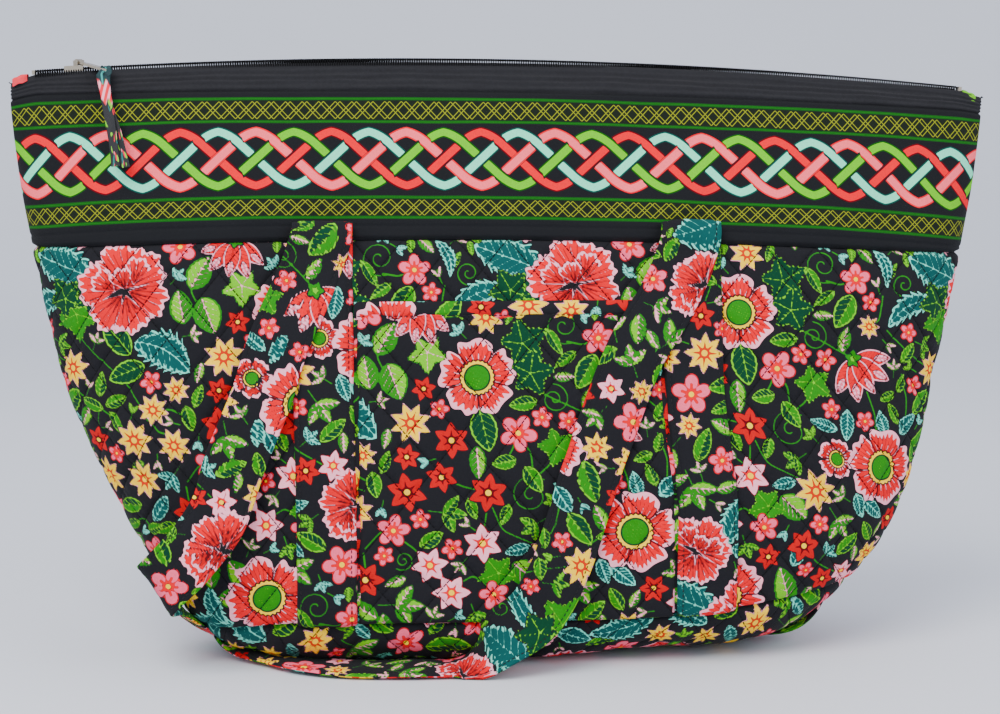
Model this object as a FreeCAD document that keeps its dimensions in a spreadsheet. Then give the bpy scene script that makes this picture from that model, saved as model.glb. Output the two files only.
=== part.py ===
import FreeCAD, Part
import math
import os
from FreeCAD import Placement, Rotation, Vector

# A soft, quilted knitting bag with a full-width zip along its top ridge, two strap handles,
# and a slip pocket between the straps on its front. Millimetres, +Z up, X along the zip,
# front towards -Y, origin on the floor under the middle of the bag.

doc = FreeCAD.newDocument("KnittingBag")

# ---------------------------------------------------------------- driving dimensions

DIMENSIONS = {
    "bag_depth_half": 69.0,        # half of the greatest depth, a little above the base
    "bag_width_half": 318.0,       # half of the width along the zip
    "zip_crest_height": 385.0,     # where the zip's coil sits, at the highest point of the arch
    "zip_crest_offset": -60.0,     # the arch's highest point, left of the middle
    "zip_arch_radius": 3640.0,
    "band_top_height": 364.0,      # upper seam of the patterned band
    "band_low_height": 274.0,      # lower seam of the band, where the quilted panel starts
    "band_low_radius": 5200.0,
    "base_seam_height": 29.0,      # seam between the side panels and the base panel
    "base_seam_radius": 1250.0,
    "wall_thickness": 4.5,         # quilted cotton with its wadding
    "lining_thickness": 0.9,
    "base_gap": 3.2,               # room for the stiffening board under the lining
    "board_thickness": 2.2,
    "strap_width": 38.0,
    "strap_thickness": 3.2,
    "strap_centre": 117.0,
    "strap_top_height": 281.0,
    "pocket_top_height": 235.0,
    "pocket_binding_height": 10.5,
    "pocket_thickness": 3.4,
    "coil_width": 3.0,
    "coil_height": 2.4,
    "coil_start": -297.0,
    "coil_end": 300.0,
    "slider_place": -273.0,
    "slider_length": 11.8,
    "slider_width": 9.2,
    "slider_plate": 1.3,
    "bail_offset": 3.0,            # the pull's pin, towards the slider's leading end
    "pull_length": 24.0,
    "pull_width": 5.8,
    "pull_thickness": 1.5,
    "pull_yaw": -35.0,
    "pull_droop": 12.5,
    "pin_radius": 0.7,
    "eye_radius": 1.9,
    "ribbon_width": 9.0,
    "ribbon_thickness": 2.2,
    "ribbon_lean": 23.0,           # the slope of the band that it hangs in front of
    "handle_gap": 0.8,             # between the hanging handle and the strap sewn under it
    "handle_clearance": 1.2,       # kept open between the handle and the pocket's binding
}

sheet = doc.addObject("Spreadsheet::Sheet", "Dims")
for row, (alias, value) in enumerate(DIMENSIONS.items(), 1):
    sheet.set(f"A{row}", alias)
    sheet.set(f"B{row}", str(value))
    sheet.setAlias(f"B{row}", alias)
doc.recompute()


def dim(alias):
    return float(sheet.get(alias))


# ---------------------------------------------------------------- shape of the bag

# Height, half width, half depth, and the two powers of y = D (1 - |x/W|^p)^(1/q): the bag
# is boxy at its base and closes to a thin ridge at the zip. Widths and depths are shares of
# the two driving half sizes.
LEVELS = [
    (0.0, 0.350, 0.36, 3.0, 2.4),
    (4.0, 0.430, 0.62, 3.2, 2.4),
    (13.0, 0.535, 0.82, 3.6, 2.4),
    (32.0, 0.645, 0.96, 4.0, 2.4),
    (62.0, 0.735, 1.00, 4.2, 2.4),
    (112.0, 0.820, 0.985, 4.4, 2.3),
    (180.0, 0.893, 0.87, 4.8, 2.2),
    (250.0, 0.943, 0.68, 5.2, 2.1),
    (310.0, 0.978, 0.45, 5.6, 2.0),
    (360.0, 0.997, 0.205, 6.0, 2.0),
    (390.0, 1.0, 0.040, 6.0, 2.0),
]
TOP = LEVELS[-1][0]


def between(height, column):
    """A column of LEVELS at any height, by straight interpolation."""
    for low, high in zip(LEVELS, LEVELS[1:]):
        if height <= high[0]:
            share = (height - low[0]) / (high[0] - low[0])
            return low[column] + share * (high[column] - low[column])
    return LEVELS[-1][column]


def half_width(height):
    return dim("bag_width_half") * between(height, 1)


def half_depth(height):
    return dim("bag_depth_half") * between(height, 2)


def front_surface(x, height):
    """Y of the bag's outer front face."""
    share = min(1.0, abs(x) / half_width(height))
    return -half_depth(height) * (1 - share ** between(height, 3)) ** (1 / between(height, 4))


def thin_at_top(height):
    """The wall is full in the quilted part and thins to a single tape at the zip."""
    knots = [(0, 1.0), (262, 1.0), (280, 0.66), (345, 0.5), (366, 0.27), (TOP, 0.2)]
    for low, high in zip(knots, knots[1:]):
        if height <= high[0]:
            return low[1] + (height - low[0]) / (high[0] - low[0]) * (high[1] - low[1])
    return knots[-1][1]


SECTION_POINTS = 21
ROUNDED_HEIGHT = 80.0       # below this a layer is lifted off the floor and thinned a little
BASE_THINNING = 0.35
LEAST_DEPTH = 0.9


def section_wire(height, width, depth, power_x, power_y):
    """A closed outline in one level plane: a front curve and a back curve, met at the sides."""
    curves = []
    for side in (-1, 1):
        points = []
        for k in range(SECTION_POINTS):
            share = side * math.cos(math.pi * k / (SECTION_POINTS - 1))
            rest = max(0.0, 1 - abs(share) ** power_x)
            points.append(Vector(width * share, side * depth * rest ** (1 / power_y), height))
        curve = Part.BSplineCurve()
        curve.interpolate(points)
        curves.append(curve.toShape())
    return Part.Wire(curves)


def hull(name, inset, lift=0.0):
    """The whole bag's outline as a solid, moved in by inset (out where it is negative)."""
    sections = []
    for k, (height, _, _, power_x, power_y) in enumerate(LEVELS):
        low = max(0.0, 1 - height / ROUNDED_HEIGHT)
        level = height + lift * low
        near = inset * thin_at_top(height) * (1 - BASE_THINNING * low)
        outline = doc.addObject("Part::Feature", f"{name}_section_{k:02d}")
        width = half_width(height) - near
        depth = max(half_depth(height) - near, LEAST_DEPTH)
        outline.Shape = section_wire(level, width, depth, power_x, power_y)
        sections.append(outline)
    loft = doc.addObject("Part::Loft", name)
    loft.Sections = sections
    loft.Solid = True
    loft.Ruled = False
    return loft


# ---------------------------------------------------------------- small builders

nodes = []


def node(label, part):
    part.Label = label
    nodes.append(part)
    return part


def block(name, x_range, y_range, z_range):
    """A cutting block between plain limits."""
    part = doc.addObject("Part::Box", name)
    part.Length = x_range[1] - x_range[0]
    part.Width = y_range[1] - y_range[0]
    part.Height = z_range[1] - z_range[0]
    part.Placement = Placement(Vector(x_range[0], y_range[0], z_range[0]), Rotation())
    return part


def bow(name, crest, radius, offset="0", hollow=False):
    """A long cylinder across the bag. A seam that bows up is its top, one that sags its bottom."""
    part = doc.addObject("Part::Cylinder", name)
    part.setExpression("Radius", f"Dims.{radius}")
    part.Height = 400
    sign = "+" if hollow else "-"
    part.Placement = Placement(Vector(0, -200, 0), Rotation(Vector(1, 0, 0), -90))
    part.setExpression("Placement.Base.x", offset)
    part.setExpression("Placement.Base.z", f"Dims.{crest} {sign} Dims.{radius}")
    return part


def common(name, parts):
    part = doc.addObject("Part::MultiCommon", name)
    part.Shapes = parts
    return part


def cut(name, base, tool):
    part = doc.addObject("Part::Cut", name)
    part.Base = base
    part.Tool = tool
    return part


def plane(body, role):
    for feature in body.Origin.OriginFeatures:
        if feature.Role == role:
            return feature
    raise ValueError(role)


def attach(body, name, role):
    sketch = body.newObject("Sketcher::SketchObject", name)
    sketch.AttachmentSupport = [(plane(body, role), "")]
    sketch.MapMode = "FlatFace"
    return sketch


def polygon(sketch, corners):
    for k, corner in enumerate(corners):
        after = corners[(k + 1) % len(corners)]
        start = Vector(corner[0], corner[1], 0)
        end = Vector(after[0], after[1], 0)
        sketch.addGeometry(Part.LineSegment(start, end), False)


def circle(sketch, x, y, radius):
    sketch.addGeometry(Part.Circle(Vector(x, y, 0), Vector(0, 0, 1), radius), False)


def pad(body, name, sketch, length):
    """A sketch made solid to both sides. length is a number or a name in Dims."""
    part = body.newObject("PartDesign::Pad", name)
    part.Profile = sketch
    part.Midplane = True
    if isinstance(length, str):
        part.Length = dim(length)
        part.setExpression("Length", f"Dims.{length}")
    else:
        part.Length = length


def through(body, name, sketch):
    """A sketch cut right through the body, to both sides."""
    part = body.newObject("PartDesign::Pocket", name)
    part.Profile = sketch
    part.Midplane = True
    part.Length = 12


# ---------------------------------------------------------------- bag walls and lining

wall = dim("wall_thickness")
lining = dim("lining_thickness")
outer = hull("outer_form", 0.0)
wall_inside = hull("wall_inside", wall, wall)
lining_outside = hull("lining_outside", wall + 0.05, wall + dim("base_gap"))
lining_inside = hull("lining_inside", wall + lining, wall + dim("base_gap") + lining)
wall_layer = cut("wall_layer", outer, wall_inside)
lining_layer = cut("lining_layer", lining_outside, lining_inside)

under_zip = bow("under_zip", "zip_crest_height", "zip_arch_radius", "Dims.zip_crest_offset")
under_band_top = bow("under_band_top", "band_top_height", "zip_arch_radius", "Dims.zip_crest_offset")
under_band = bow("under_band", "band_low_height", "band_low_radius", "Dims.zip_crest_offset")
over_base = bow("over_base", "base_seam_height", "base_seam_radius", hollow=True)
FRONT, BACK = (-150, 0), (0, 150)
halves = {
    "front": block("front_half", (-400, 400), FRONT, (-5, 400)),
    "back": block("back_half", (-400, 400), BACK, (-5, 400)),
}

for side, half in halves.items():
    shell_half = common(f"{side}_wall", [wall_layer, half])
    panel = common(f"{side}_panel_form", [shell_half, over_base, under_band])
    node(f"{side}_quilted_panel", panel)
    band = common(f"{side}_band_upto", [shell_half, under_band_top])
    node(f"{side}_band", cut(f"{side}_band_form", band, under_band))
    tape = common(f"{side}_tape_upto", [shell_half, under_zip])
    node(f"zip_tape_{side}", cut(f"{side}_tape_form", tape, under_band_top))
    cloth = common(f"{side}_lining_form", [lining_layer, half, over_base, under_zip])
    node(f"lining_{side}", cloth)

node("base_panel", cut("base_panel_form", wall_layer, over_base))
node("lining_base", cut("lining_base_form", lining_layer, over_base))

board_form = hull("board_form", wall + 0.8, wall + 0.2)
board_low = wall + 0.5
board_high = board_low + dim("board_thickness")
board_block = block("board_block", (-200, 200), (-80, 80), (board_low, board_high))
node("base_board", common("board_sheet", [board_form, board_block]))

# ---------------------------------------------------------------- pocket and sewn straps

strap = dim("strap_thickness")
half_strap = dim("strap_width") / 2
pocket_side = dim("strap_centre") - half_strap
strap_form = hull("strap_form", -strap)
strap_layer = cut("strap_layer", strap_form, outer)
pocket_form = hull("pocket_form", -dim("pocket_thickness"))
pocket_layer = cut("pocket_layer", pocket_form, outer)
binding_form = hull("binding_form", -dim("pocket_thickness") - 0.9)
binding_layer = cut("binding_layer", binding_form, outer)
tack_form = hull("tack_form", -strap - 0.5)
tack_layer = cut("tack_layer", tack_form, strap_form)

TACK_MARGIN = 4.0                # in from the strap's edges
TACK_LOW, TACK_HIGH = 26.0, 8.0  # down from the strap's top
for side, depth in (("front", FRONT), ("back", BACK)):
    tacks = []
    for hand, sign in (("left", -1), ("right", 1)):
        centre = sign * dim("strap_centre")
        sides = (centre - half_strap, centre + half_strap)
        column = block(f"{side}_{hand}_column", sides, depth, (0, dim("strap_top_height")))
        sewn = common(f"{side}_{hand}_sewn", [strap_layer, column, over_base])
        node(f"{side}_strap_{hand}", sewn)
        top = dim("strap_top_height")
        tack_sides = (centre - half_strap + TACK_MARGIN, centre + half_strap - TACK_MARGIN)
        patch = block(f"{side}_{hand}_patch", tack_sides, depth, (top - TACK_LOW, top - TACK_HIGH))
        tacks.append(common(f"{side}_{hand}_tack", [tack_layer, patch]))
    both = doc.addObject("Part::Compound", f"{side}_tacks")
    both.Links = tacks
    node(f"{side}_bar_tacks", both)

pocket_top = dim("pocket_top_height")
binding_low = pocket_top - dim("pocket_binding_height")
pocket_sides = (-pocket_side, pocket_side)
pocket_block = block("pocket_block", pocket_sides, FRONT, (0, binding_low))
node("front_pocket_panel", common("pocket_panel_form", [pocket_layer, pocket_block, over_base]))
binding_block = block("binding_block", pocket_sides, FRONT, (binding_low, pocket_top))
node("front_pocket_binding", common("pocket_binding_form", [binding_layer, binding_block]))

inner_pocket_form = hull("inner_pocket_form", wall + lining + 1.2, wall + dim("base_gap") + 2)
inner_pocket_layer = cut("inner_pocket_layer", lining_inside, inner_pocket_form)
inner_block = block("inner_pocket_block", (-105, 105), (0, 150), (95, 225))
node("interior_pocket", common("interior_pocket_sheet", [inner_pocket_layer, inner_block]))

# ---------------------------------------------------------------- zip

arch = dim("zip_arch_radius")
arch_centre = Vector(dim("zip_crest_offset"), 0, dim("zip_crest_height") - arch)


def arch_angle(x):
    """Degrees along the zip's arch, from its highest point."""
    return math.degrees(math.asin((x - arch_centre.x) / arch))


def on_arch(x, rise=0.0):
    """A point above the arch, and the turn that levels it there."""
    turn = Rotation(Vector(0, 1, 0), arch_angle(x))
    return Placement(arch_centre + turn.multVec(Vector(0, 0, arch + rise)), turn)


def arch_body(label, corners, start, end):
    """A strip of constant profile, (y, rise) corners, that follows the arch from start to end."""
    body = doc.addObject("PartDesign::Body", f"{label}_body")
    body.Placement = Placement(arch_centre, Rotation(Vector(0, 1, 0), arch_angle(start)))
    sketch = attach(body, f"{label}_profile", "YZ_Plane")
    polygon(sketch, [(y, arch + rise) for y, rise in corners])
    turned = body.newObject("PartDesign::Revolution", f"{label}_turn")
    turned.Profile = sketch
    turned.ReferenceAxis = (plane(body, "Y_Axis"), [""])
    turned.Angle = arch_angle(end) - arch_angle(start)
    doc.recompute()
    middle = turned.Shape.BoundBox.Center
    if middle.x < 0:
        turned.Reversed = True
        doc.recompute()
    return node(label, body)


coil_width = dim("coil_width")
coil_height = dim("coil_height")
for side, sign in (("front", -1), ("back", 1)):
    outline = [
        (sign * 0.06, 0.05),
        (sign * 0.06, coil_height),
        (sign * 0.62 * coil_width, coil_height),
        (sign * coil_width, 0.6 * coil_height),
        (sign * coil_width, 0.05),
    ]
    arch_body(f"zip_coil_{side}", outline, dim("coil_start"), dim("coil_end"))

stop_outline = [(-3.4, 0.05), (3.4, 0.05), (3.4, 2.7), (-3.4, 2.7)]
arch_body("zip_start_stop", stop_outline, dim("coil_start") - 2.4, dim("coil_start") - 0.2)
arch_body("zip_end_stop", stop_outline, dim("coil_end") + 0.2, dim("coil_end") + 2.4)
tab_outline = [(-4.6, 0.1), (4.6, 0.1), (4.6, 1.6), (3.8, 2.2), (-3.8, 2.2), (-4.6, 1.6)]
arch_body("zip_end_tab_left", tab_outline, -313.0, -301.5)
arch_body("zip_end_tab_right", tab_outline, 303.2, 313.0)

# Slider: a channel that rides over the two coils, with two lugs and a pin for the pull.
slider_half = dim("slider_width") / 2
roof = coil_height + 0.45
plate = dim("slider_plate")
pin_rise = roof + plate + 2.1
yaw = Rotation(Vector(0, 0, 1), dim("pull_yaw"))

slider = doc.addObject("PartDesign::Body", "slider_body")
slider.Placement = on_arch(dim("slider_place"))
channel = attach(slider, "channel_profile", "YZ_Plane")
inner_side = coil_width + 0.5
polygon(channel, [
    (-slider_half, 0.55), (-inner_side, 0.55), (-inner_side, roof), (inner_side, roof),
    (inner_side, 0.55), (slider_half, 0.55), (slider_half, roof + 0.5),
    (slider_half - 0.9, roof + plate), (-slider_half + 0.9, roof + plate), (-slider_half, roof + 0.5),
])
pad(slider, "channel_pad", channel, "slider_length")
node("zip_slider_body", slider)

bail = doc.addObject("PartDesign::Body", "bail_body")
bail_x = dim("slider_place") + dim("bail_offset")
bail.Placement = on_arch(bail_x, roof + plate).multiply(Placement(Vector(), yaw))
lug_outer = 3.35
lug_inner = 2.55
lug_sketch = attach(bail, "lug_profile", "YZ_Plane")
for sign in (-1, 1):
    inner_y = sign * lug_inner
    outer_y = sign * lug_outer
    polygon(lug_sketch, [(inner_y, 0), (outer_y, 0), (outer_y, 3.2), (inner_y, 3.2)])
pad(bail, "lug_pad", lug_sketch, 3.4)
pin_sketch = attach(bail, "pin_profile", "XZ_Plane")
circle(pin_sketch, 0, pin_rise - roof - plate, dim("pin_radius"))
pad(bail, "pin_pad", pin_sketch, 2 * lug_outer)
node("zip_slider_bail", bail)

# Pull: a tapered plate with a hinge eye at one end and a slot for the ribbon at the other.
pin_place = on_arch(bail_x, pin_rise)
droop = Rotation(Vector(0, 1, 0), dim("pull_droop"))
pull = doc.addObject("PartDesign::Body", "pull_body")
pull.Placement = Placement(pin_place.Base, yaw.multiply(droop))
pull_length = dim("pull_length")
pull_half = dim("pull_width") / 2
eye_length = 2 * lug_inner - 0.6
window_middle = pull_length - 3.4
barrel = attach(pull, "barrel_profile", "XZ_Plane")
circle(barrel, 0, 0, dim("eye_radius"))
pad(pull, "barrel_pad", barrel, eye_length)
blade = attach(pull, "blade_outline", "XY_Plane")
neck = eye_length / 2 - 0.3
polygon(blade, [
    (1.0, -neck), (4.5, -neck), (8.0, -pull_half), (pull_length - 3.0, -pull_half),
    (pull_length, -pull_half + 1.8), (pull_length, pull_half - 1.8),
    (pull_length - 3.0, pull_half), (8.0, pull_half), (4.5, neck), (1.0, neck),
])
pad(pull, "blade_pad", blade, "pull_thickness")
eye = attach(pull, "eye_profile", "XZ_Plane")
circle(eye, 0, 0, dim("pin_radius") + 0.3)
through(pull, "eye_pocket", eye)
window = attach(pull, "window_outline", "XY_Plane")
near_end, far_end = window_middle - 1.8, window_middle + 1.8
polygon(window, [(near_end, -2.0), (far_end, -2.0), (far_end, 2.0), (near_end, 2.0)])
through(pull, "window_pocket", window)
doc.recompute()
node("zip_pull_tab", pull)

# Ribbon: a doubled length of narrow tape that hangs from the pull, over the slope of the band.
ribbon_top = pull.Placement.multVec(Vector(window_middle, 0, 0))
RIBBON_DROP = Vector(0, -2.4, -3.6)      # from the pull's slot to the top of the solid ribbon
RIBBON_ROUTE = [(0, 0), (2.5, -20), (8.5, -41), (12.0, -62)]


def tangent_path(points):
    """Straight runs joined by tangent arcs, each as wide as its two runs allow."""
    route = [Vector(x, y, 0) for x, y in points]
    pieces = []
    here = route[0]
    for before, corner, after in zip(route, route[1:], route[2:]):
        into = (corner - before).normalize()
        away = (after - corner).normalize()
        turn = into.getAngle(away)
        reach = 0.45 * min((corner - before).Length, (after - corner).Length)
        radius = reach / math.tan(turn / 2)
        start = corner - into * reach
        end = corner + away * reach
        toward = (away - into).normalize()
        centre = corner + toward * math.hypot(radius, reach)
        middle = centre - toward * radius
        pieces.append(Part.LineSegment(here, start))
        pieces.append(Part.Arc(start, middle, end))
        here = end
    pieces.append(Part.LineSegment(here, route[-1]))
    return pieces


ribbon = doc.addObject("PartDesign::Body", "ribbon_body")
route = attach(ribbon, "ribbon_route", "XZ_Plane")
for piece in tangent_path(RIBBON_ROUTE):
    route.addGeometry(piece, False)
ribbon_sketch = attach(ribbon, "ribbon_section", "XY_Plane")
ribbon_half = dim("ribbon_width") / 2
ribbon_thick = dim("ribbon_thickness") / 2
polygon(ribbon_sketch, [
    (-ribbon_half, -ribbon_thick), (ribbon_half, -ribbon_thick),
    (ribbon_half, ribbon_thick), (-ribbon_half, ribbon_thick),
])
doc.recompute()
swept = ribbon.newObject("PartDesign::AdditivePipe", "ribbon_sweep")
swept.Profile = ribbon_sketch
swept.Spine = route
lean = Rotation(Vector(1, 0, 0), -dim("ribbon_lean"))
ribbon.Placement = Placement(ribbon_top + RIBBON_DROP, lean)
node("zip_pull_ribbon", ribbon)
print("pull's pin", pin_place.Base, "pull's slot", ribbon_top)
for x, z in RIBBON_ROUTE:
    print("ribbon passes", ribbon.Placement.multVec(Vector(x, 0, z)))

# ---------------------------------------------------------------- handles

# The front handle hangs down over the front, slumped to the left. At its lower left it folds
# over a slanted line, goes back under the raised corner of the base, and comes forward again
# along the floor to the foot of the right leg. A hanging station is the strap's middle (x and
# height) and its tilt; a floor station is its middle and the direction of its width.
HANGING_LEFT = [
    (-117, 279, 0),
    (-122, 262, -8),
    (-131, 240, -18),
    (-144, 212, -22),
    (-156, 176, -21),
    (-172, 138, -22),
    (-184, 104, -28),
    (-205, 77, -40),
]
HANGING_RIGHT = [
    (117, 279, 0),
    (113, 262, -14),
    (102, 238, -26),
    (80, 204, -27),
    (64, 166, -22),
    (49, 126, -20),
    (38, 92, -19),
    (28, 66, -22),
]
FLOOR_RUN = [
    ((-220, -75, 61), (0.54, 0.00, -0.84)),
    ((-219, -50, 52), (0.60, -0.30, -0.75)),
    ((-211, -20, 32), (0.75, -0.50, -0.43)),
    ((-194, -4, 15), (0.35, -0.93, 0.10)),
    ((-172, -10, 6.5), (-0.40, -0.90, 0.00)),
    ((-147, -30, 3.6), (-0.70, -0.70, 0.00)),
    ((-125, -50, 2.8), (-0.55, -0.83, 0.00)),
    ((-98, -61, 2.8), (-0.20, -0.98, 0.00)),
    ((-62, -65, 3.2), (0.00, -1.00, -0.02)),
    ((-30, -66, 5.0), (0.04, -0.98, -0.06)),
    ((-6, -80, 26), (0.38, -0.42, -0.82)),
    ((11, -82, 38), (0.60, -0.20, -0.76)),
]


# The lower part of each leg hangs away from the bag, in a nearly upright plane, and past
# SIDE_START the strap doesn't follow the bag round its side.
PLUMB_HEIGHT, PLUMB_Y, PLUMB_SLOPE = 230.0, -92.5, 0.14
SIDE_START, SIDE_SHARE = 150.0, 0.86
SLOPE_REACH = 4.0       # the slope of the front is taken over this much above and below


def strap_section(middle, across, normal):
    """A thin rectangle with its corners set out from the middle of the strap."""
    side = across * half_strap
    face = normal * (strap / 2)
    corners = [middle - side - face, middle + side - face, middle + side + face, middle - side + face]
    return Part.makePolygon(corners + corners[:1])


def hanging_station(x, height, tilt):
    """A section that lies flat against the front of the bag, clear of the sewn strap."""
    slope = half_depth(height + SLOPE_REACH) - half_depth(height - SLOPE_REACH)
    proud = strap + dim("handle_gap") + strap / 2
    normal = Vector(0, -2 * SLOPE_REACH, -slope).normalize()
    lift = Vector(x, front_surface(x, height), height) + normal * proud
    if abs(x) > SIDE_START:
        lift.y = min(lift.y, -half_depth(height) * SIDE_SHARE)
    if height < PLUMB_HEIGHT:
        lift.y = min(lift.y, PLUMB_Y + PLUMB_SLOPE * height)
    across = Rotation(Vector(0, 1, 0), -tilt).multVec(Vector(1, 0, 0))
    across = (across - normal * across.dot(normal)).normalize()
    return lift, across, normal


def floor_station(middle, across, before, after):
    across = Vector(*across).normalize()
    along = (Vector(*after) - Vector(*before)).normalize()
    return Vector(*middle), across, along.cross(across).normalize()


def handle_sections():
    stations = [hanging_station(*values) for values in HANGING_LEFT]
    places = [tuple(stations[-1][0])] + [middle for middle, _ in FLOOR_RUN]
    places.append(tuple(hanging_station(*HANGING_RIGHT[-1])[0]))
    for k, (middle, across) in enumerate(FLOOR_RUN):
        stations.append(floor_station(middle, across, places[k], places[k + 2]))
    stations += [hanging_station(*values) for values in reversed(HANGING_RIGHT)]
    wires = []
    previous = stations[0]
    for middle, across, normal in stations:
        if across.dot(previous[1]) < 0:
            across = across * -1
        if normal.dot(previous[2]) < 0:
            normal = normal * -1
        wires.append(strap_section(middle, across, normal))
        previous = (middle, across, normal)
    length = sum((b[0] - a[0]).Length for a, b in zip(stations, stations[1:]))
    print("handle length", round(length, 1))
    return wires


loop = Part.makeLoft(handle_sections(), True, True)
handle_clearance = hull("clearance_form", -dim("pocket_thickness") - dim("handle_clearance"))
for side, turn in (("front", 0), ("back", 180)):
    whole = doc.addObject("Part::Feature", f"{side}_handle_loop")
    whole.Shape = loop
    whole.Placement = Placement(Vector(), Rotation(Vector(0, 0, 1), turn))
    node(f"{side}_handle", cut(f"{side}_handle_form", whole, handle_clearance))

# ---------------------------------------------------------------- check and write

doc.recompute()
problems = []
for part in doc.Objects:
    if "Invalid" in part.State or "Error" in part.State:
        problems.append(f"{part.Name} is {part.State}")
for part in nodes:
    if part.Shape.isNull() or not part.Shape.isValid() or part.Shape.Volume <= 0:
        problems.append(f"{part.Label} has no valid solid")
if problems:
    raise RuntimeError("; ".join(problems))

os.makedirs("parts", exist_ok=True)
for part in nodes:
    box = part.Shape.BoundBox
    print(part.Label, len(part.Shape.Solids), round(part.Shape.Volume),
          [round(v, 1) for v in (box.XMin, box.XMax, box.YMin, box.YMax, box.ZMin, box.ZMax)])
    part.Shape.exportStep(f"parts/{part.Label}.step")
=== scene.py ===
"""A quilted knitting bag with a zip along its top, a knotwork band, a slip pocket and two strap
handles. Lengths are in metres in the CAD frame unless a name says mm."""
import math

import bpy
import numpy as np
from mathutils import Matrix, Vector


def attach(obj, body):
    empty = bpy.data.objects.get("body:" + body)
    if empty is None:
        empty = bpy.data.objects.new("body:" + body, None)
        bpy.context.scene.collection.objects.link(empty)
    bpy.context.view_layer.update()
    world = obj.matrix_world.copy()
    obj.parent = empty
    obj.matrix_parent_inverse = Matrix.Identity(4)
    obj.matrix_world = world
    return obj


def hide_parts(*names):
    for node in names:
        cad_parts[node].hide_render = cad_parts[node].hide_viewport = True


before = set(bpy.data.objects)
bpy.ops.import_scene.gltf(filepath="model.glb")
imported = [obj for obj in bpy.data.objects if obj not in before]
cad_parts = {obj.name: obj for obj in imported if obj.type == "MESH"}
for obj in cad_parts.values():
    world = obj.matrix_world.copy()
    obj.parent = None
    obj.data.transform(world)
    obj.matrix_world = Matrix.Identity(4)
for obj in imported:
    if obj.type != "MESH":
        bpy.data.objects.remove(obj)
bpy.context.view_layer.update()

MM = 0.001

# ------------------------------------------------------------------ camera and stage

AZIMUTH, ELEVATION, DISTANCE = math.radians(-4.6), math.radians(7.0), 1.40
TARGET = Vector((-0.0015, 0.0, 0.1935))
LENS_MM = 76.7


def add_camera():
    data = bpy.data.cameras.new("camera")
    data.lens = LENS_MM
    data.clip_end = 50
    camera = bpy.data.objects.new("camera", data)
    away = Vector((
        math.sin(AZIMUTH) * math.cos(ELEVATION),
        -math.cos(AZIMUTH) * math.cos(ELEVATION),
        math.sin(ELEVATION),
    ))
    camera.location = TARGET + away * DISTANCE
    camera.rotation_euler = away.to_track_quat("Z", "Y").to_euler()
    bpy.context.scene.collection.objects.link(camera)
    bpy.context.scene.camera = camera


add_camera()

# ------------------------------------------------------------------ mesh helpers


def link(name, mesh):
    piece = bpy.data.objects.new(name, mesh)
    bpy.context.scene.collection.objects.link(piece)
    return piece


def mesh_from(name, points, quads):
    """A smooth mesh of four-sided faces from arrays."""
    mesh = bpy.data.meshes.new(name)
    mesh.vertices.add(len(points))
    mesh.vertices.foreach_set("co", np.asarray(points, np.float32).ravel())
    quads = np.asarray(quads, np.int32)
    mesh.loops.add(quads.size)
    mesh.loops.foreach_set("vertex_index", quads.ravel())
    mesh.polygons.add(len(quads))
    mesh.polygons.foreach_set("loop_start", np.arange(0, quads.size, 4, dtype=np.int32))
    mesh.polygons.foreach_set("use_smooth", np.ones(len(quads), bool))
    mesh.update(calc_edges=True)
    mesh.validate()
    return mesh


def grid_quads(rows, columns, wrap=False, flip=False, offset=0):
    """The faces of a grid; wrap joins its last column to its first."""
    row = np.arange(rows - 1)[:, None] * columns
    across = np.arange(columns if wrap else columns - 1)[None, :]
    after = (across + 1) % columns
    corners = [row + across, row + after, row + columns + after, row + columns + across]
    if flip:
        corners.reverse()
    return offset + np.stack([c.ravel() for c in corners], 1)


def set_vector(mesh, name, values):
    layer = mesh.attributes.new(name, "FLOAT_VECTOR", "POINT")
    layer.data.foreach_set("vector", np.ascontiguousarray(values, np.float32).ravel())


def set_cloth(mesh, cloth):
    """The place of every point on its flat cloth, in mm."""
    flat = np.zeros((len(mesh.vertices), 3))
    flat[:, :2] = cloth.reshape(-1, 2)
    set_vector(mesh, "cloth", flat)


def set_inks(mesh, fields):
    """Twelve ink distances a point, packed four to an attribute."""
    for k, name in enumerate(("ink_a", "ink_b", "ink_c")):
        layer = mesh.attributes.new(name, "FLOAT_COLOR", "POINT")
        four = np.ascontiguousarray(fields[:, 4 * k:4 * k + 4], np.float32)
        layer.data.foreach_set("color", four.ravel())


def bar_quads(sides, rings, offset):
    """The faces of a small bar, open at its ends, whose points run along it side by side."""
    last = np.arange(rings - 1)
    wrap = offset + (sides - 1) * rings + last
    closing = np.stack([wrap, wrap + 1, offset + last + 1, offset + last], 1)
    return np.concatenate([grid_quads(sides, rings, offset=offset), closing])


def run_length(line):
    """The way along a line of points to each of them."""
    return np.concatenate([[0], np.cumsum(np.linalg.norm(np.diff(line, axis=0), axis=1))])


def eased_share(count, power):
    """Values from -1 to 1 that lie closer together towards both ends."""
    share = np.sin(np.linspace(-math.pi / 2, math.pi / 2, count))
    return np.sign(share) * (1 - (1 - np.abs(share)) ** power)


def grid_normals(points):
    """The unit normal at every point of a grid."""
    down = np.gradient(points, axis=0)
    across = np.gradient(points, axis=1)
    normal = np.cross(across, down)
    length = np.linalg.norm(normal, axis=2, keepdims=True)
    return normal / np.maximum(length, 1e-12)


def wander(a, b, scale, seed):
    """A smooth, repeatable unevenness between about -1 and 1."""
    rng = np.random.default_rng(seed)
    total = np.zeros_like(a)
    for _ in range(7):
        turn, phase = rng.uniform(0, 2 * math.pi, 2)
        rate = 2 * math.pi / scale * rng.uniform(0.6, 1.7)
        total += np.sin(rate * (a * math.cos(turn) + b * math.sin(turn)) + phase)
    return total / 3.5


# ------------------------------------------------------------------ the bag's own shape, mm

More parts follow.
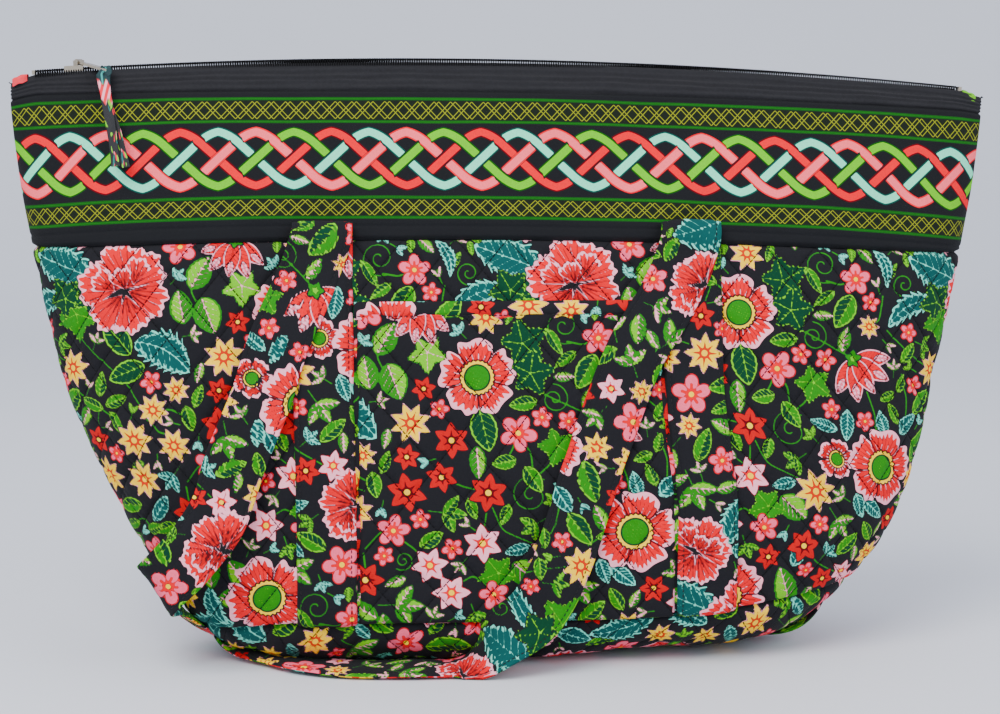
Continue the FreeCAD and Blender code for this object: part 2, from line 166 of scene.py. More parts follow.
# Height, half width, half depth and two powers, as in the CAD hull.
LEVELS = np.array([
    (0.0, 111.3, 24.8, 3.0, 2.4),
    (4.0, 136.7, 42.8, 3.2, 2.4),
    (13.0, 170.1, 56.6, 3.6, 2.4),
    (32.0, 205.1, 66.2, 4.0, 2.4),
    (62.0, 233.7, 69.0, 4.2, 2.4),
    (112.0, 260.8, 68.0, 4.4, 2.3),
    (180.0, 284.0, 60.0, 4.8, 2.2),
    (250.0, 299.9, 46.9, 5.2, 2.1),
    (310.0, 311.0, 31.1, 5.6, 2.0),
    (360.0, 317.0, 14.1, 6.0, 2.0),
    (390.0, 318.0, 2.8, 6.0, 2.0),
])
CREST_X = -60.0         # where the zip and the band's seams are highest
ZIP_RADIUS = 3640.0
LEAN, DRAWN_IN, CORNER_SAG = 9.0, 3.5, 9.0


def smooth_through(places, knots, values):
    """Values at places on a smooth curve through values at knots."""
    slope = np.gradient(values, knots)
    k = np.clip(np.searchsorted(knots, places) - 1, 0, len(knots) - 2)
    span = knots[k + 1] - knots[k]
    share = np.clip((places - knots[k]) / span, 0, 1)
    square, cube = share ** 2, share ** 3
    return (
        (2 * cube - 3 * square + 1) * values[k]
        + (cube - 2 * square + share) * span * slope[k]
        + (3 * square - 2 * cube) * values[k + 1]
        + (cube - square) * span * slope[k + 1]
    )


def level(height, column):
    """A column of LEVELS at any height."""
    return smooth_through(height, LEVELS[:, 0], LEVELS[:, column])


def depth_at(x, height):
    share = np.minimum(np.abs(x) / level(height, 1), 1.0)
    return level(height, 2) * (1 - share ** level(height, 3)) ** (1 / level(height, 4))


def arch(x, height, radius):
    return height - radius + np.sqrt(radius ** 2 - (x - CREST_X) ** 2)


def crest(x):
    return arch(x, 385.0, ZIP_RADIUS)


def band_top(x):
    """The seam under the zip's tape, nearer the zip towards both ends."""
    return arch(x, 367.0, ZIP_RADIUS) + 5.5 * (x / 300) ** 2


def band_low(x):
    return arch(x, 274.0, 5200.0)


def base_seam(x):
    """Bowed like the CAD seam, raised a little in the middle and sagging at its left."""
    sag = np.clip((-x - 70) / 110, 0, 1)
    return 29.0 + 1250.0 - np.sqrt(1250.0 ** 2 - x ** 2) + 3.5 * np.exp(-(x / 80) ** 2) - 11 * sag ** 1.5


def on_side(curve, side):
    """A seam's height for a cloth that is shaped as a front one and then turned to its side."""
    return curve if side == "front" else (lambda x: curve(-x))


def to_back(points):
    """The same cloth on the other side of the bag, turned half round."""
    return points * np.array([-1.0, -1.0, 1.0])


def turned(points, side):
    return to_back(points) if side == "back" else points


def end_droop(x):
    """How far the zip's ends droop past its last teeth."""
    return 4.5 * np.clip((np.abs(x) - 298) / 18, 0, 1) ** 1.3


def slumped(points, side="front"):
    """The bag's lower part leans to the right, its lower left corner sags, and the left end of
    its top is drawn in."""
    if side == "back":
        return to_back(slumped(to_back(points)))
    x, z = points[..., 0], points[..., 2]
    low = np.clip((190 - z) / 95, 0, 1)
    low = low * low * (3 - 2 * low)
    share = np.clip((-x - 120) / 120, 0, 1) + np.clip((x + 120) / 240, 0, 1)
    moved = points.copy()
    moved[..., 0] += LEAN * low * share + DRAWN_IN * np.clip((-x - 200) / 118, 0, 1) ** 2 * (1 - low)
    moved[..., 2] -= CORNER_SAG * np.exp(-((x + 205) / 36) ** 2) * np.clip((75 - z) / 45, 0, 1)
    moved[..., 2] -= end_droop(x) * np.clip((z - 345) / 30, 0, 1)
    return moved


def whole_width(top, bottom, pitch, side="front"):
    """A cloth from side seam to side seam: points, and cloth coordinates from its top middle."""
    share = eased_share(601, 1.15)
    rows = int(round((top(0.0) - bottom(0.0)) / pitch)) + 2
    columns = int(round(2 * level(top(0.0), 1) * 1.03 / pitch))
    grid = np.zeros((rows, columns, 3))
    cloth = np.zeros((rows, columns, 2))
    for r, fraction in enumerate(np.linspace(0, 1, rows)):
        x = share * 300.0
        for _ in range(5):
            z = top(x) + (bottom(x) - top(x)) * fraction
            x = share * level(z, 1)
        y = -depth_at(x, z)
        y[[0, -1]] = 0
        line = np.stack([x, y, z], 1)
        along = run_length(line)
        middle = np.interp(0.0, x, along)
        places = np.linspace(0, along[-1], columns)
        for axis in range(3):
            grid[r, :, axis] = np.interp(places, along, line[:, axis])
        cloth[r, :, 0] = places - middle
    steps = np.linalg.norm(np.diff(grid, axis=0), axis=2)
    cloth[1:, :, 1] = np.cumsum(steps, axis=0)
    return slumped(grid, side), cloth


def patch(left, right, top, bottom, pitch, side="front"):
    """A cloth between two upright edges on the front of the bag."""
    columns = int(round((right - left) / pitch)) + 1
    x = np.linspace(left, right, columns)
    high, low = top(x), bottom(x)
    rows = int(round((high.mean() - low.mean()) / pitch)) + 2
    fraction = np.linspace(0, 1, rows)[:, None]
    z = high + (low - high) * fraction
    x = np.broadcast_to(x, z.shape)
    grid = np.stack([x, -depth_at(x, z), z], 2)
    cloth = np.zeros(z.shape + (2,))
    cloth[..., 0] = x
    cloth[1:, :, 1] = np.cumsum(np.linalg.norm(np.diff(grid, axis=0), axis=2), axis=0)
    return slumped(grid, side), cloth


# ------------------------------------------------------------------ printed cotton

CORAL, PALE, WINE, RED, YELLOW, ORANGE, PINK, LIME, GREEN, PINE, TEAL, AQUA = range(12)
REPEAT_W, REPEAT_H = 283.4, 292.0


class PrintTile:
    """One repeat of a print. Each ink is a signed distance in mm, negative where it shows."""

    def __init__(self, width, height, pitch):
        self.width, self.height = width, height
        self.columns, self.rows = int(round(width / pitch)), int(round(height / pitch))
        self.ink = np.full((12, self.rows, self.columns), 4.0, np.float32)

    def near(self, x, y, reach, turn=0.0):
        """The cells within reach of a point, and their own coordinates, y up, turned by turn."""
        dx, dy = self.width / self.columns, self.height / self.rows
        i = np.arange(int((x - reach) / dx), int((x + reach) / dx) + 2)
        j = np.arange(int((y - reach) / dy), int((y + reach) / dy) + 2)
        right, up = np.meshgrid(i * dx - x, y - j * dy)
        cosine, sine = math.cos(turn), math.sin(turn)
        cells = np.ix_(j % self.rows, i % self.columns)
        return cells, right * cosine + up * sine, up * cosine - right * sine

    def lay(self, cells, distance, ink):
        """Paints a shape over what is there."""
        distance = distance.astype(np.float32)
        for k in range(12):
            here = self.ink[k][cells]
            if k == ink:
                self.ink[k][cells] = np.minimum(here, distance)
            else:
                self.ink[k][cells] = np.maximum(here, -distance)

    def sample(self, across, down):
        """The twelve distances at cloth places in mm."""
        i = (across / self.width * self.columns) % self.columns
        j = (down / self.height * self.rows) % self.rows
        i0, j0 = np.floor(i).astype(int), np.floor(j).astype(int)
        a, b = (i - i0)[None], (j - j0)[None]
        i0, j0 = i0 % self.columns, j0 % self.rows
        i1, j1 = (i0 + 1) % self.columns, (j0 + 1) % self.rows
        upper = self.ink[:, j0, i0] * (1 - a) + self.ink[:, j0, i1] * a
        lower = self.ink[:, j1, i0] * (1 - a) + self.ink[:, j1, i1] * a
        return np.moveaxis(upper * (1 - b) + lower * b, 0, -1)


def polar(right, up):
    return np.hypot(right, up), np.arctan2(up, right)


def folded(angle, count):
    """An angle measured from the nearest of count petals."""
    step = 2 * math.pi / count
    return (angle + step / 2) % step - step / 2


def star_flower(tile, x, y, radius, count, turn, rim, body, ray, eye):
    """Pointed petals with a fine rim and a ray along each."""
    cells, right, up = tile.near(x, y, radius + 2, turn)
    r, angle = polar(right, up)
    off = folded(angle, count)
    along, across = r * np.cos(off), np.abs(r * np.sin(off))
    share = np.clip(along / radius, 0, 1)
    half = radius * (1.85 / count) * np.sin(math.pi * share ** 0.8) ** 0.85
    edge = np.maximum(across - half, along - radius) * 0.9
    tile.lay(cells, edge, rim)
    tile.lay(cells, edge + 0.55, body)
    tile.lay(cells, np.maximum(across - radius * 0.085 * (1 - share / 0.72), along - radius * 0.72), ray)
    tile.lay(cells, r - radius * 0.25, ray)
    tile.lay(cells, r - radius * 0.15, eye)


def round_flower(tile, x, y, radius, count, turn, rim, body, ray, eye):
    """Broad rounded petals."""
    cells, right, up = tile.near(x, y, radius + 2, turn)
    r, angle = polar(right, up)
    off = folded(angle, count)
    along, across = r * np.cos(off), np.abs(r * np.sin(off))
    width = radius * 0.36
    edge = (np.hypot((along - radius * 0.6) / (radius * 0.42), across / width) - 1) * width
    tile.lay(cells, edge, rim)
    tile.lay(cells, edge + 0.7, body)
    tile.lay(cells, np.maximum(across - radius * 0.07, along - radius * 0.55), ray)
    tile.lay(cells, r - radius * 0.24, ray)
    tile.lay(cells, r - radius * 0.14, eye)


def poppy(tile, x, y, radius, turn):
    """An open flower: ruffled, streaked petals round a seeded green eye."""
    cells, right, up = tile.near(x, y, radius * 1.1 + 2, turn)
    r, angle = polar(right, up)
    off = folded(angle, 5)
    cleft = np.exp(-((math.pi / 5 - np.abs(off)) / 0.09) ** 2)
    outline = radius * (0.97 + 0.045 * np.sin(13 * angle + 2 * np.sin(3 * angle)) - 0.2 * cleft)
    tile.lay(cells, (r - outline) * 0.9, PALE)
    fringe = radius * (0.07 + 0.15 * (0.5 + 0.5 * np.sin(41 * angle + 3 * np.sin(4 * angle))))
    tile.lay(cells, (r - outline + fringe) * 0.7, CORAL)
    streak = np.abs(np.sin(17 * angle + 1.5 * np.sin(5 * angle))) * r / 17 - 0.38
    tile.lay(cells, np.maximum(streak, np.maximum(r - radius * 0.76, radius * 0.4 - r)), RED)
    seam = (math.pi / 5 - np.abs(off)) * r - 0.45
    tile.lay(cells, np.maximum(seam, np.maximum(r - radius * 0.8, radius * 0.4 - r)), WINE)
    inner = np.abs(np.sin(11 * angle)) * r / 11 - 0.35
    tile.lay(cells, np.maximum(inner, np.maximum(r - radius * 0.62, radius * 0.38 - r)), PALE)
    frill = 1 + 0.05 * np.sin(23 * angle)
    tile.lay(cells, r - radius * 0.45 * frill, WINE)
    tile.lay(cells, r - radius * 0.42 * frill, YELLOW)
    tile.lay(cells, r - radius * 0.345, PINE)
    tile.lay(cells, r - radius * 0.31, GREEN)
    dots = 0.45 - np.cos(right * 2.6) * np.cos(up * 2.6)
    tile.lay(cells, np.maximum(dots * 0.5, r - radius * 0.28), LIME)


def fan_petal(tile, x, y, radius, turn, spread, seed=0.0):
    """One petal seen from its base: dark streaks and a pale, ruffled edge."""
    cells, right, up = tile.near(x, y, radius * 1.12 + 2, turn)
    r, angle = polar(right, up)
    ruffle = 0.045 * np.sin(13 * angle + seed) + 0.03 * np.sin(29 * angle + 2 * seed)
    outline = radius * (1 + ruffle - 0.16 * (angle / spread) ** 2)
    sides = (np.abs(angle) - spread) * r * 0.9
    tile.lay(cells, np.maximum((r - outline) * 0.9, sides), PALE)
    fringe = 0.9 + radius * 0.11 * (0.5 + 0.5 * np.sin(38 * angle + seed))
    tile.lay(cells, np.maximum((r - outline + fringe) * 0.8, sides + 0.45), CORAL)
    for waves, phase, half, inner, outer, ink in (
        (15, 0, 0.36, 0.12, 0.78, RED), (8, 1, 0.3, 0.08, 0.5, WINE), (9, 2, 0.28, 0.55, 0.95, PALE),
    ):
        streak = np.abs(np.sin(waves * angle + phase + seed)) * r / waves - half
        limits = np.maximum(r - radius * outer, radius * inner - r)
        tile.lay(cells, np.maximum(streak, np.maximum(limits, sides + 1.0)), ink)


def peony(tile, x, y, size, turn):
    """Overlapping fans, the farthest laid first."""
    petals = [
        (0.10, 0.05, 0.98, 100, 34), (0.02, 0.0, 1.0, 30, 36), (-0.05, 0.05, 1.0, 160, 36),
        (0.05, -0.05, 0.92, -35, 36), (-0.05, -0.08, 0.92, 215, 36), (0.0, -0.1, 0.86, 268, 34),
        (0.22, 0.02, 0.62, 62, 36), (-0.2, 0.02, 0.60, 128, 36), (0.02, -0.02, 0.50, 95, 42),
    ]
    cosine, sine = math.cos(turn), math.sin(turn)
    for k, (right, up, radius, angle, spread) in enumerate(petals):
        px = x + size * (right * cosine - up * sine)
        py = y - size * (right * sine + up * cosine)
        fan_petal(tile, px, py, radius * size, math.radians(angle) + turn, math.radians(spread), k * 1.7)


def side_flower(tile, x, y, size, turn):
    """A flower from the side: long pale-tipped petals under a green cup."""
    for angle, reach in ((-62, 0.95), (58, 1.0), (-30, 1.05), (28, 1.08), (0, 1.0)):
        direction = turn + math.radians(angle)
        px = x + math.cos(direction) * size * reach * 0.5
        py = y - math.sin(direction) * size * reach * 0.5
        leaf(tile, px, py, size * reach, size * 0.44, direction, PALE, CORAL, RED, 9, 0.0)
        tip = (x + math.cos(direction) * size * reach * 0.74, y - math.sin(direction) * size * reach * 0.74)
        leaf(tile, *tip, size * reach * 0.36, size * 0.16, direction, PALE, PALE, PINK, 4, 0.0)
    star_flower(tile, x, y, size * 0.24, 5, turn, PINE, GREEN, LIME, LIME)


SHADES = {LIME: GREEN, GREEN: PINE}       # the darker ink on one side of a leaf
PLAIN_LEAF, FRESH_LEAF = (LIME, GREEN, LIME), (GREEN, LIME, PALE)      # rim, body and veins
DUSK_LEAF, MOSS_LEAF = (AQUA, TEAL, AQUA), (LIME, PINE, LIME)


def leaf(tile, x, y, length, width, turn, rim, body, vein, teeth=7, bite=0.12, curve=0.0):
    """A pointed leaf about its middle, toothed by bite, bent by curve."""
    cells, right, up = tile.near(x, y, length / 2 + width / 2 + 2, turn)
    up = up + curve * ((right / length) ** 2 * 4 - 0.5) * width
    share = np.clip(right / length + 0.5, 0, 1)
    saw = 1 - (share * teeth) % 1.0
    half = width / 2 * np.sin(math.pi * share ** 0.85) ** 0.7 * (1 - bite + 2 * bite * saw)
    side = np.abs(up)
    ends = np.abs(right) - length / 2
    edge = np.maximum(side - half, ends) * 0.85
    tile.lay(cells, edge, rim)
    margin = min(1.0, width * 0.07)
    tile.lay(cells, edge + margin, body)
    if body in SHADES:
        streaks = up + width * 0.06 * np.sin(right / length * 40)
        tile.lay(cells, np.maximum(edge + margin, streaks), SHADES[body])
        light = np.maximum(side - half * 0.62, streaks + width * 0.1)
        ribbed = np.abs(((right - side * 0.9) / length * teeth) % 1.0 - 0.5) * length / teeth
        tile.lay(cells, np.maximum(light, ribbed - 0.55), body)
    phase = ((right + side * -0.9) / length * teeth) % 1.0
    ribs = np.abs(phase - 0.5) * length / teeth * 0.7 - 0.26
    tile.lay(cells, np.maximum(ribs, side - half * 0.78), vein)
    tile.lay(cells, np.maximum(side - 0.34, ends + 1.0), vein)


def feather_leaf(tile, x, y, length, width, turn, curve=0.0):
    """A long lobed teal leaf with icy edges."""
    leaf(tile, x, y, length, width, turn, *DUSK_LEAF, 8, 0.2, curve)
    cells, right, up = tile.near(x, y, length / 2, turn)
    up = up + curve * ((right / length) ** 2 * 4 - 0.5) * width
    share = np.clip(right / length + 0.5, 0, 1)
    half = width / 2 * np.sin(math.pi * share) ** 0.7
    phase = ((right - np.abs(up) * 0.9) / length * 16) % 1.0
    fringe = np.abs(phase - 0.5) * length / 16 * 0.7 - 0.3
    limits = np.maximum(half * 0.62 - np.abs(up), np.abs(up) - half * 0.92)
    tile.lay(cells, np.maximum(fringe, limits), AQUA)


def lobed_leaf(tile, x, y, radius, turn, rim, body, vein, lobes=5):
    """A broad leaf with pointed lobes round its stalk."""
    cells, right, up = tile.near(x, y, radius + 2, turn)
    r, angle = polar(right + radius * 0.25, up)
    off = folded(angle, lobes)
    reach = radius * (0.72 + 0.45 * (1 - np.abs(off) * lobes / math.pi) ** 1.3)
    reach = reach * (1 + 0.05 * np.sin(31 * angle)) * (1 - 0.25 * (np.abs(angle) / math.pi) ** 2)
    edge = (r - reach) * 0.8
    tile.lay(cells, edge, rim)
    tile.lay(cells, edge + 0.7, body)
    tile.lay(cells, np.maximum(np.abs(off) * r - 0.32, r - reach * 0.86), vein)
    twig = np.abs(np.sin(6.2 * r / radius * 2 - np.abs(off) * 7)) * 1.2 - 0.22
    tile.lay(cells, np.maximum(twig, np.maximum(r - reach * 0.8, 0.2 * radius - r)), vein)


def stroke(tile, points, width, ink):
    """A fine line of changing direction through points."""
    points = np.array(points, float)
    steps = np.linspace(0, len(points) - 1, 12 * len(points))
    line = np.stack([np.interp(steps, np.arange(len(points)), points[:, k]) for k in (0, 1)], 1)
    for _ in range(10):
        line[1:-1] = (line[:-2] + 2 * line[1:-1] + line[2:]) / 4
    middle = (line.min(0) + line.max(0)) / 2
    reach = float(np.abs(line - middle).max()) + 3
    cells, right, up = tile.near(middle[0], middle[1], reach)
    gap = np.full(right.shape, 9.0)
    for place in line:
        gap = np.minimum(gap, np.hypot(right - (place[0] - middle[0]), up + (place[1] - middle[1])))
    tile.lay(cells, gap - width / 2, ink)


def curl(tile, x, y, radius, turn, hand):
    """A coiled tendril."""
    turns = np.linspace(0, 3.4 * math.pi, 26)
    points = [
        (x + radius * (0.12 + 0.09 * t) * math.cos(turn + hand * t),
         y - radius * (0.12 + 0.09 * t) * math.sin(turn + hand * t)) for t in turns
    ]
    stroke(tile, points, 0.9, GREEN)


def clearance(tile):
    """How far every cell is from the nearest ink, in cells, up to a limit."""
    bare = (tile.ink > 0).all(0)
    far = np.zeros(bare.shape, np.int16)
    for step in range(26):
        far += bare
        shifts = [np.roll(bare, way, axis) for axis in (0, 1) for way in (-1, 1)]
        if step % 2:
            shifts += [np.roll(shifts[k], way, 1) for k in (0, 1) for way in (-1, 1)]
        bare = bare & np.logical_and.reduce(shifts)
    return far


def sprig(tile, x, y, size, turn, inks):
    """Two or three small leaves on a short stalk."""
    count = 3 if size > 7 else 2
    start = (x - math.cos(turn) * size * 0.8, y + math.sin(turn) * size * 0.8)
    stroke(tile, [start, (x, y)], 0.9, GREEN)
    for k in range(count):
        direction = turn + (k - (count - 1) / 2) * 1.05
        px, py = x + math.cos(direction) * size * 0.42, y - math.sin(direction) * size * 0.42
        leaf(tile, px, py, size * 1.15, size * 0.55, direction, *inks, 5, 0.05)


def fill_bare_ground(tile, seed, least=6.0):
    """Small flowers, leaves and sprigs wherever the ground is still bare."""
    rng = np.random.default_rng(seed)
    pitch = tile.width / tile.columns
    leaf_inks = [FRESH_LEAF, PLAIN_LEAF, FRESH_LEAF, DUSK_LEAF]
    for _ in range(260):
        far = clearance(tile)
        best = int(far.max())
        room = best * pitch
        if room < least:
            break
        rows, columns = np.nonzero(far >= best - 1)
        pick = int(rng.integers(len(rows)))
        x, y = columns[pick] * pitch, rows[pick] * pitch
        turn = rng.uniform(0, 2 * math.pi)
        kind = rng.random()
        inks = leaf_inks[int(rng.integers(4))]
        if room > 8.5 and kind < 0.2:
            star_flower(tile, x, y, room * 0.92, 6, turn, WINE, RED, WINE, YELLOW)
        elif room > 8.5 and kind < 0.4:
            star_flower(tile, x, y, room * 0.95, 8, turn, PALE, YELLOW, ORANGE, YELLOW)
        elif room > 7.0 and kind < 0.55:
            round_flower(tile, x, y, room * 0.9, 5, turn, CORAL, PINK, CORAL, YELLOW)
        elif kind < 0.8:
            sprig(tile, x, y, room * 1.12, turn, inks)
        else:
            leaf(tile, x, y, room * 2.3, room * 1.15, turn, *inks, 6, 0.06)


def floral_tile():
    """The flowered cotton: each motif's middle in mm across and down one repeat."""
    tile = PrintTile(REPEAT_W, REPEAT_H, 0.55)
    deg = math.radians
    stems = [
        [(5, 52), (22, 70), (40, 84), (50, 101)], [(52, 108), (60, 118), (68, 120)],
        [(31, 110), (20, 102), (12, 122)], [(75, 150), (84, 140), (92, 139)],
        [(74, 153), (75, 162)], [(58, 104), (70, 104), (81, 110)], [(92, 46), (84, 30), (92, 14)],
        [(122, 106), (135, 112), (150, 116)], [(150, 120), (158, 140), (180, 150)],
        [(114, 161), (104, 150), (92, 141)], [(127, 176), (140, 168), (152, 178)],
        [(222, 71), (212, 66), (195, 58), (180, 50)], [(237, 128), (236, 108), (231, 92)],
        [(171, 79), (166, 90), (161, 97)], [(178, 108), (188, 100), (194, 90)],
        [(171, 79), (178, 92), (178, 108)], [(224, 20), (214, 24), (204, 22)],
        [(243, 30), (240, 46), (233, 50)], [(283, 77), (262, 66), (246, 52)],
        [(180, 193), (190, 205), (206, 214)], [(150, 116), (148, 132), (146, 146)],
        [(42, 222), (52, 212), (69, 206)], [(25, 182), (36, 176), (47, 182)],
        [(2, 90), (8, 98), (14, 100)], [(260, 112), (262, 96), (258, 80)],
    ]
    for points in stems:
        stroke(tile, points, 1.2, GREEN)
    curl(tile, 195, 58, 9, deg(200), 1)
    curl(tile, 202, 12, 11, deg(40), 1)
    curl(tile, 98, 158, 6, deg(120), -1)
    curl(tile, 176, 118, 12, deg(300), -1)
    curl(tile, 258, 22, 8, deg(80), 1)
    plain, fresh, moss = PLAIN_LEAF, FRESH_LEAF, MOSS_LEAF
    leaves = [
        (90, 19, 21, 13, 60, fresh), (78, 40, 20, 12, 100, fresh), (95, 46, 22, 15, 290, fresh),
        (14, 100, 17, 7, 160, plain), (23, 87, 15, 7, 80, plain), (33, 98, 15, 7, 20, plain),
        (31, 112, 15, 6, 300, plain), (56, 181, 16, 7, 200, plain), (109, 212, 24, 13, 130, fresh),
        (102, 226, 20, 11, 190, fresh), (115, 145, 15, 8, 30, plain), (216, 41, 22, 12, 240, plain),
        (196, 22, 17, 6, 300, plain), (203, 33, 15, 6, 215, plain), (25, 182, 15, 7, 200, plain),
        (47, 182, 14, 7, 20, plain), (69, 206, 17, 7, 290, plain), (173, 168, 20, 14, 320, fresh),
        (150, 77, 24, 14, 280, moss), (161, 97, 14, 8, 190, plain), (178, 108, 17, 9, 300, plain),
        (213, 193, 19, 8, 40, plain), (228, 185, 15, 7, 120, plain), (81, 110, 15, 8, 280, plain),
        (250, 14, 12, 5, 60, plain), (262, 66, 14, 7, 60, plain), (247, 95, 12, 6, 200, plain),
        (258, 86, 12, 6, 70, plain), (138, 3, 9, 5, 270, plain), (168, 5, 12, 5, 250, plain),
        (222, 4, 9, 5, 270, plain), (260, 6, 9, 4, 280, plain), (88, 96, 14, 6, 70, plain),
        (160, 130, 13, 6, 250, plain), (140, 126, 13, 6, 290, plain), (40, 140, 12, 6, 200, plain),
        (36, 58, 25, 13, 130, moss), (42, 80, 23, 12, 200, moss), (12, 205, 20, 9, 70, plain),
        (256, 205, 17, 8, 130, plain), (268, 228, 18, 9, 60, fresh), (140, 262, 18, 9, 20, plain),
        (199, 262, 19, 9, 150, plain), (236, 262, 17, 8, 60, plain), (60, 282, 18, 9, 10, plain),
    ]
    for x, y, length, width, angle, inks in leaves:
        leaf(tile, x, y, length * 1.12, width * 1.2, deg(angle), *inks, 6, 0.04)
    for x, y, length, width, angle in (
        (199, 114, 19, 8, 160), (215, 114, 21, 10, 260), (241, 112, 17, 9, 100), (262, 113, 20, 11, 40),
        (220, 167, 18, 9, 290), (232, 170, 20, 10, 320), (187, 241, 23, 9, 20), (167, 251, 20, 9, 330),
        (177, 197, 22, 10, 70),
    ):
        leaf(tile, x, y, length, width, deg(angle), *DUSK_LEAF, 8, 0.1)
    for x, y, length, width, angle, curve in (
        (0, 12, 46, 26, 160, 0.0), (244, 12, 26, 8, 290, 0.5), (266, 38, 44, 15, 20, 0.5),
        (67, 69, 40, 24, 330, 0.2), (83, 248, 40, 20, 10, 0.0), (35, 252, 34, 18, 60, 0.2),
        (72, 269, 42, 20, 200, 0.2), (112, 262, 34, 17, 330, 0.0), (90, 232, 30, 14, 110, 0.3),
    ):
        feather_leaf(tile, x, y, length, width, deg(angle), curve)
    for x, y, radius, angle, inks in (
        (5, 44, 16, 200, plain), (179, 21, 15, 30, moss), (184, 41, 14, 10, moss),
        (194, 90, 12, 250, plain), (116, 31, 12, 270, fresh), (283, 30, 13, 120, moss),
        (153, 168, 12, 200, plain), (20, 30, 12, 60, moss),
    ):
        lobed_leaf(tile, x, y, radius, deg(angle), *inks)
    peony(tile, 42, 28, 29, deg(15))
    side_flower(tile, 112, -1, 24, deg(260))
    poppy(tile, 147, 44, 24.5, deg(20))
    side_flower(tile, 222, 71, 27, deg(305))
    poppy(tile, 205, 136, 13, deg(70))
    poppy(tile, 239, 142, 26, deg(5))
    poppy(tile, 127, 228, 29, deg(40))
    peony(tile, 228, 240, 24, deg(200))
    peony(tile, 8, 272, 22, deg(330))
    for x, y, radius, turn in (
        (2, 77, 13, 10), (58, 104, 11, 30), (42, 123, 13.5, 5), (69, 127, 12, 20),
        (43, 149, 13.5, 15), (233, 50, 8.5, 0), (188, 157, 15, 12), (160, 272, 12, 5),
        (272, 150, 11, 25),
    ):
        star_flower(tile, x, y, radius, 8, deg(turn), PALE, YELLOW, ORANGE, YELLOW)
    for x, y, radius, turn in (
        (75, 170, 12.5, 0), (150, 116, 13, 20), (122, 106, 10.5, 40), (180, 193, 12, 10),
        (12, 124, 10, 15), (196, 218, 10, 50),
    ):
        star_flower(tile, x, y, radius, 6, deg(turn), WINE, RED, WINE, YELLOW)
    for x, y, radius, turn in (
        (114, 161, 12, 10), (146, 148, 13, 35), (127, 179, 12.5, 60), (213, 215, 10.5, 20),
        (268, 188, 10, 0),
    ):
        star_flower(tile, x, y, radius, 6, deg(turn), CORAL, PALE, CORAL, YELLOW)
    for x, y, radius, turn in (
        (224, 20, 10.5, 90), (171, 79, 12, 60), (92, 139, 10.5, 80), (153, 181, 9.5, 30),
        (42, 222, 11, 50), (260, 262, 10, 20),
    ):
        round_flower(tile, x, y, radius, 5, deg(turn), CORAL, PINK, CORAL, YELLOW)
    fill_bare_ground(tile, 7)
    return tile


# ------------------------------------------------------------------ the knotwork band

KNOT_PERIOD, KNOT_REACH, KNOT_HALF = 95.0, 19.3, 3.05
KNOT_MIDDLE, KNOT_TALL, KNOT_GAP = 48.5, 25.0, 11
KNOT_START = 15.6       # a coral crest stands this far left of the bag's middle
KNOT_INKS = [(0, 4), (1, 5), (2, 0), (3, 6)]     # each strand's ink and its outline's


def knot_height(along, phase):
    """A rounded zigzag with plain sloping runs."""
    ramp = np.abs(((along / KNOT_PERIOD + phase) % 1.0) * 4 - 2) - 1
    tall = np.abs(ramp * KNOT_PERIOD / 4 / KNOT_REACH)
    blend = np.clip(0.5 + (1.0 - tall) / 0.9, 0, 1)
    low = tall * blend + 1.0 * (1 - blend) - 0.45 * blend * (1 - blend)
    return np.sign(ramp) * low * KNOT_REACH


def knot_tile():
    """One period of the four-strand braid: what passes under is laid before what passes over."""
    tile = PrintTile(KNOT_PERIOD, 2 * KNOT_TALL, 0.4)
    cells = np.ix_(np.arange(tile.rows), np.arange(tile.columns))
    right, up = np.meshgrid(
        np.arange(tile.columns) * KNOT_PERIOD / tile.columns,
        KNOT_TALL - np.arange(tile.rows) * 2 * KNOT_TALL / tile.rows,
    )
    for over in (False, True):
        for strand, (ink, outline) in enumerate(KNOT_INKS):
            phase = -strand / 4
            middle = knot_height(right, phase)
            slope = (knot_height(right + 0.2, phase) - knot_height(right - 0.2, phase)) / 0.4
            gap = np.abs(up - middle) / np.sqrt(1 + slope ** 2) - KNOT_HALF
            inner = np.abs(middle) < KNOT_REACH * 0.42
            above = np.where(slope > 0, inner, ~inner)
            hidden = np.where(above == over, -9.0, 9.0)
            if over:
                tile.lay(cells, np.maximum(gap - 1.0, hidden), KNOT_GAP)
            tile.lay(cells, np.maximum(gap - 0.45, hidden), outline)
            tile.lay(cells, np.maximum(gap + 0.45, hidden), ink)
    return tile


# ------------------------------------------------------------------ materials


